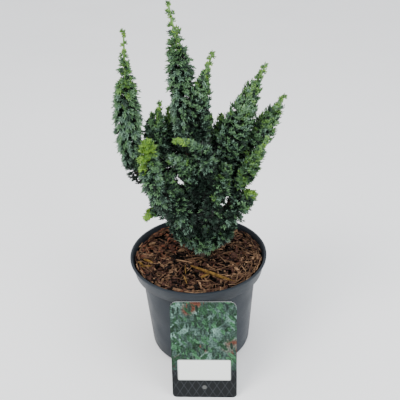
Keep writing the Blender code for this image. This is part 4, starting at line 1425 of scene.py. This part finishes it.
def grow_dense(axis, grower):
    """Twigs with sprays all round the dense part, a golden angle apart."""
    mass, rng = grower.mass, grower.rng
    count = round(grower.settings.twigs * axis.dense * mass.girth)
    lie = SPRAY_LIE.get(mass.name, 0.0)
    end_from, end_girth = END_GIRTHS.get(mass.name, (1.0, 1.0))
    young_from = YOUNG_PLUMES.get(mass.name, YOUNG_FROM)
    for at in range(count):
        share = (at + rng.uniform(*TWIG_SPACING)) / count
        top = max(0.0, (share - THIN_FROM) / (1.0 - THIN_FROM))
        if mass.leader > FREE_LEADER and rng.random() < THIN_SHARE * (1.0 - (1.0 - top) ** 2):
            continue
        point, tangent, normal, across = axis.at(share * axis.dense)
        angle = at * GOLDEN_ANGLE + rng.uniform(-TWIG_TURN, TWIG_TURN)
        out = around(angle, normal, across)
        girth = end_girth if share > end_from else 1.0
        size = min(1.0, math.sqrt(girth)) * grower.settings.spray * (1.0 - TOP_FINENESS * top)
        reach = girth * mass.girth * girth_share(share) * rng.uniform(*REACH_SPREAD)
        rise = LOW_RISE + (HIGH_RISE - LOW_RISE) * share + RISE_SPREAD * rng.uniform(-1.0, 1.0)
        heading = around(rise, out, tangent)
        stop = point + max(TWIG_SHORTEST, 1.0 - SPRAY_OVERHANG * size / reach) * reach * heading
        bend = TWIG_BEND * reach * rng.uniform(*BEND_SPREAD) * tangent
        middle = point.lerp(stop, 0.5) + bend
        grower.twig([point, middle, stop])
        past = (share - young_from) / (1.0 - young_from)
        young = rng.random() < past * YOUNG_SHARE * (1.0 if mass.leader > FREE_LEADER else LOW_YOUNG)
        side = Quaternion(heading, rng.uniform(-SPRAY_TWIST, SPRAY_TWIST)) @ tangent.cross(out)
        hang = tangent * (SPRAY_LIFT * (2.0 * share - SPRAY_LEVEL) + lie)
        for along, hand in SPRAY_PLACES:
            root = point.lerp(stop, along) + 4 * along * (1 - along) * bend
            aside = SPRAY_FORWARD * heading + hand * rng.uniform(*SPRAY_ASIDE) * side + hang
            aside += SPRAY_TOSS * rng.uniform(-1, 1) * tangent
            depth = ((root - point).length + SPRAY_MIDDLE * size) / reach
            tone = grower.tone(root, depth, share, young, out)
            grower.spray(root, aside, side, size * rng.uniform(*SPRAY_SIZES), tone,
                         plain=depth < PLAIN_DEPTH)


def grow_leader(axis, grower):
    """Tufts along the leader, smaller towards its end, and three at the tip.

    On a long, bare leader they stand in two ranks; on a short one, a golden angle apart.
    """
    mass, rng = grower.mass, grower.rng
    reach = mass.leader + LEADER_OVERLAP
    start = axis.lengths[-1] - reach
    count = max(2, round(reach / LEADER_STEP))
    free = mass.leader > FREE_LEADER
    for step in range(count):
        share = (step + rng.uniform(*TUFT_SPACING)) / count
        point, tangent, normal, across = axis.at(start + share * reach)
        grown = min(1.0, (start + share * reach) / axis.dense)
        if free:
            hand = -1.0 if step % 2 else 1.0
            wide = normal if abs(normal.x) > abs(across.x) else across
            out = Quaternion(tangent, rng.uniform(-TUFT_TURN, TUFT_TURN)) @ (hand * wide)
        else:
            angle = step * GOLDEN_ANGLE + rng.uniform(-SHORT_TUFT_TURN, SHORT_TUFT_TURN)
            out = around(angle, normal, across)
        size = (LEADER_SPRAY + (LEADER_TIP_SPRAY - LEADER_SPRAY) * share) * rng.uniform(*TUFT_SIZES)
        heading = (out + (TUFT_RISE * share - TUFT_DROOP) * tangent).normalized()
        stop = point + TUFT_TWIG * size * heading
        grower.twig([point, stop])
        for turn in TUFT_TURNS:
            tone = grower.tone(point, 1.0, grown, False, out)
            if free:
                tone = drawn(rng, {word: low + gain * share for word, (low, gain) in TUFT_MIX.items()})
            aside = Quaternion(tangent.cross(out), turn) @ heading
            side = tangent.cross(out) + rng.uniform(-TUFT_TWIST, TUFT_TWIST) * tangent
            grower.spray(point.lerp(stop, TUFT_SEAT), aside, side,
                         TUFT_SPRAY * size * rng.uniform(*TUFT_SPRAY_SIZES), tone, plain=True,
                         stout=TUFT_STOUTNESS)
    tip, tangent, normal, _ = axis.at(axis.lengths[-1])
    for angle in TIP_TURNS:
        lean = Quaternion(tangent, angle) @ normal
        grower.spray(tip - TIP_SEAT * tangent, tangent + TIP_SPREAD * lean, lean.cross(tangent),
                     LEADER_TIP_SPRAY, FRESH, plain=True)


def grow_stem(axis, grower):
    """The stem: brown in the dense part, green and thin where it runs on as the leader."""
    foot_radius = TRUNK_TIP_RADIUS if grower.mass.start is None else BOUGH_TIP_RADIUS
    taper = STEM_END_RADIUS - foot_radius
    radii = [foot_radius + taper * at / axis.lengths[-1] for at in axis.lengths]
    turn = bisect_left(axis.lengths, GREEN_STEM_FROM * axis.dense)
    brown = range(0, turn + 1, STEM_STEP)
    green = range(len(radii) - 1, turn - 2, -STEM_STEP)[::-1]
    for bm, marks, sides, tone in ((grower.wood, brown, STEM_SIDES, 0),
                                   (grower.leaves, green, GREEN_STEM_SIDES, FRESH)):
        rings = round_rings([axis.points[at] for at in marks], [radii[at] for at in marks], sides)
        loft(bm, rings, tone)


def grow_inner(settings, shapes, space):
    """Short twigs along the trunk and the boughs inside the crown, their sprays painted in shade."""
    grower = Grower(MASSES[0], settings, shapes, space, 0, free=True)
    rng = grower.rng
    paths = [([point for point in trunk_axis() if point.z > INNER_FROM], TRUNK_INNER_REACH)]
    paths += [(bough_path(mass, INNER_PATH_POINTS)[INNER_PATH_SKIP:], BOUGH_INNER_REACH)
              for mass in MASSES if has_bough(mass)]
    for path, reach in paths:
        turns = frames(path)
        span = sum((b - a).length for a, b in zip(path, path[1:]))
        count = round(span / INNER_STEP)
        for at in range(count):
            place = min(len(path) - 1, round((at + rng.random()) / count * len(path)))
            tangent, normal, across = turns[place]
            out = around(at * GOLDEN_ANGLE, normal, across)
            heading = (out + rng.uniform(*INNER_RISE) * tangent).normalized()
            point = path[place]
            stop = point + reach * rng.uniform(*INNER_SPREAD) * heading
            grower.twig([point, stop])
            side = tangent.cross(out)
            for along, hand in INNER_PLACES:
                aside = heading + hand * rng.uniform(*INNER_ASIDE) * side
                aside += rng.uniform(-INNER_TOSS, INNER_TOSS) * tangent
                size = settings.spray * rng.uniform(*INNER_SIZES)
                grower.spray(point.lerp(stop, along), aside, side, size, drawn(rng, INNER_TWIG_SHADE_MIX), plain=True)
    return grower.leaves, grower.wood


def grow_mass(mass, index, settings, shapes, space):
    """Leaves and wood of one mass."""
    axis = Axis(mass)
    grower = Grower(mass, settings, shapes, space, index)
    grow_stem(axis, grower)
    grow_dense(axis, grower)
    grow_leader(axis, grower)
    return grower.leaves, grower.wood


def gather(whole, part):
    """Add one bmesh to another and free it."""
    mesh = mesh_from("part", part)
    whole.from_mesh(mesh)
    bpy.data.meshes.remove(mesh)


def make_foliage(settings):
    """The leaves of each mass as a piece of its own, and all twigs joined in one."""
    mats = leaf_materials(settings)
    shapes = spray_meshes()
    space = Space(MASSES)
    wood = bmesh.new()
    for index, mass in enumerate(MASSES):
        leaves, twigs = grow_mass(mass, index, settings, shapes, space)
        finished("sprays_" + mass.name, leaves, mats,
                 replaces=["foliage_" + mass.name])
        gather(wood, twigs)
    leaves, twigs = grow_inner(settings, shapes, space)
    finished("sprays_inner", leaves, mats)
    gather(wood, twigs)
    for tones in shapes:
        for mesh in tones:
            bpy.data.meshes.remove(mesh)
    twig_bark = natural_material("twig_bark", TWIG_BARK, 0.7, 150.0)
    finished("twigs", wood, [twig_bark])


# stage

def area_light(name, place, size, power, tint):
    """A soft round light that looks at the middle of the plant."""
    light = bpy.data.lights.new(name, "AREA")
    light.shape = "DISK"
    light.size = size
    light.energy = power
    light.color = tint
    lamp = placed(name, light)
    lamp.location = place
    lamp.rotation_euler = (Vector(LIGHT_TARGET) - Vector(place)).to_track_quat("-Z", "Y").to_euler()


def make_stage(settings):
    """Pale floor, even pale surroundings, two soft lights and the camera."""
    scene = bpy.context.scene
    bm = bmesh.new()
    bmesh.ops.create_grid(bm, x_segments=1, y_segments=1, size=FLOOR_HALF)
    floor = placed("floor", mesh_from("floor", bm))
    floor.data.materials.append(natural_material("floor_paper", settings.floor, 0.9, 3.0, 0.01, relief=0.0))
    scene.world = bpy.data.worlds.new("studio")
    scene.world.use_nodes = True
    sky = scene.world.node_tree.nodes["Background"]
    sky.inputs["Color"].default_value = (*SKY_TINT, 1.0)
    sky.inputs["Strength"].default_value = SKY_STRENGTH
    area_light("key", KEY_PLACE, KEY_SIZE, settings.key, KEY_TINT)
    area_light("fill", FILL_PLACE, FILL_SIZE, settings.fill, FILL_TINT)
    data = bpy.data.cameras.new("camera")
    data.lens = CAMERA_LENS
    data.sensor_width = CAMERA_SENSOR
    data.clip_start = CAMERA_NEAR
    turn = Matrix.Rotation(math.pi / 2 - CAMERA_PITCH, 4, "X") @ Matrix.Rotation(-CAMERA_ROLL, 4, "Z")
    camera = placed("camera", data)
    camera.matrix_world = Matrix.Translation(CAMERA_PLACE) @ turn
    scene.camera = camera


# operators

class CYPRESS_OT_pot(bpy.types.Operator):
    """Make the turned pot with its drain holes"""

    bl_idname = "cypress.pot"
    bl_label = "Make pot"

    def execute(self, context):
        make_pot(context.scene.cypress_pot)
        return {"FINISHED"}


class CYPRESS_OT_mulch(bpy.types.Operator):
    """Make the root ball and the bark mulch on it"""

    bl_idname = "cypress.mulch"
    bl_label = "Make mulch"

    def execute(self, context):
        make_bed(context.scene.cypress_pot, context.scene.cypress_mulch)
        make_mulch(context.scene.cypress_pot, context.scene.cypress_mulch)
        return {"FINISHED"}


class CYPRESS_OT_card(bpy.types.Operator):
    """Make the plant card that leans on the pot"""

    bl_idname = "cypress.card"
    bl_label = "Make card"

    def execute(self, context):
        make_card(context.scene.cypress_pot, context.scene.cypress_card)
        return {"FINISHED"}


class CYPRESS_OT_limbs(bpy.types.Operator):
    """Make the trunk and the boughs with bark relief"""

    bl_idname = "cypress.limbs"
    bl_label = "Make trunk and boughs"

    def execute(self, context):
        make_trunk()
        make_boughs()
        return {"FINISHED"}


class CYPRESS_OT_foliage(bpy.types.Operator):
    """Grow the twigs and sprays of every mass of foliage"""

    bl_idname = "cypress.foliage"
    bl_label = "Grow foliage"

    def execute(self, context):
        make_foliage(context.scene.cypress_foliage)
        return {"FINISHED"}


class CYPRESS_OT_stage(bpy.types.Operator):
    """Make the floor, the lights and the camera"""

    bl_idname = "cypress.stage"
    bl_label = "Make stage"

    def execute(self, context):
        make_stage(context.scene.cypress_studio)
        return {"FINISHED"}


class CYPRESS_PT_panel(bpy.types.Panel):
    """Sidebar panel with a button for each piece"""

    bl_label = "Potted dwarf cypress"
    bl_idname = "CYPRESS_PT_panel"
    bl_space_type = "VIEW_3D"
    bl_region_type = "UI"
    bl_category = "Cypress"

    def draw(self, context):
        for operator in OPERATORS:
            self.layout.operator(operator.bl_idname)
        for group in SETTINGS:
            box = self.layout.box()
            settings = getattr(context.scene, group)
            for name in settings.bl_rna.properties.keys():
                if name not in ("rna_type", "name"):
                    box.prop(settings, name)


OPERATORS = (CYPRESS_OT_pot, CYPRESS_OT_mulch, CYPRESS_OT_card, CYPRESS_OT_limbs, CYPRESS_OT_foliage,
             CYPRESS_OT_stage)
SETTINGS = {
    "cypress_pot": CypressPotSettings,
    "cypress_mulch": CypressMulchSettings,
    "cypress_card": CypressCardSettings,
    "cypress_foliage": CypressFoliageSettings,
    "cypress_studio": CypressStudioSettings,
}


def register():
    for group, settings in SETTINGS.items():
        bpy.utils.register_class(settings)
        setattr(bpy.types.Scene, group, PointerProperty(type=settings))
    for operator in OPERATORS:
        bpy.utils.register_class(operator)
    bpy.utils.register_class(CYPRESS_PT_panel)


def unregister():
    bpy.utils.unregister_class(CYPRESS_PT_panel)
    for operator in reversed(OPERATORS):
        bpy.utils.unregister_class(operator)
    for group, settings in SETTINGS.items():
        delattr(bpy.types.Scene, group)
        bpy.utils.unregister_class(settings)


def main():
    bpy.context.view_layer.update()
    register()
    bpy.ops.cypress.pot()
    bpy.ops.cypress.mulch()
    bpy.ops.cypress.card()
    bpy.ops.cypress.limbs()
    bpy.ops.cypress.foliage()
    bpy.ops.cypress.stage()


if __name__ == "__main__":
    main()
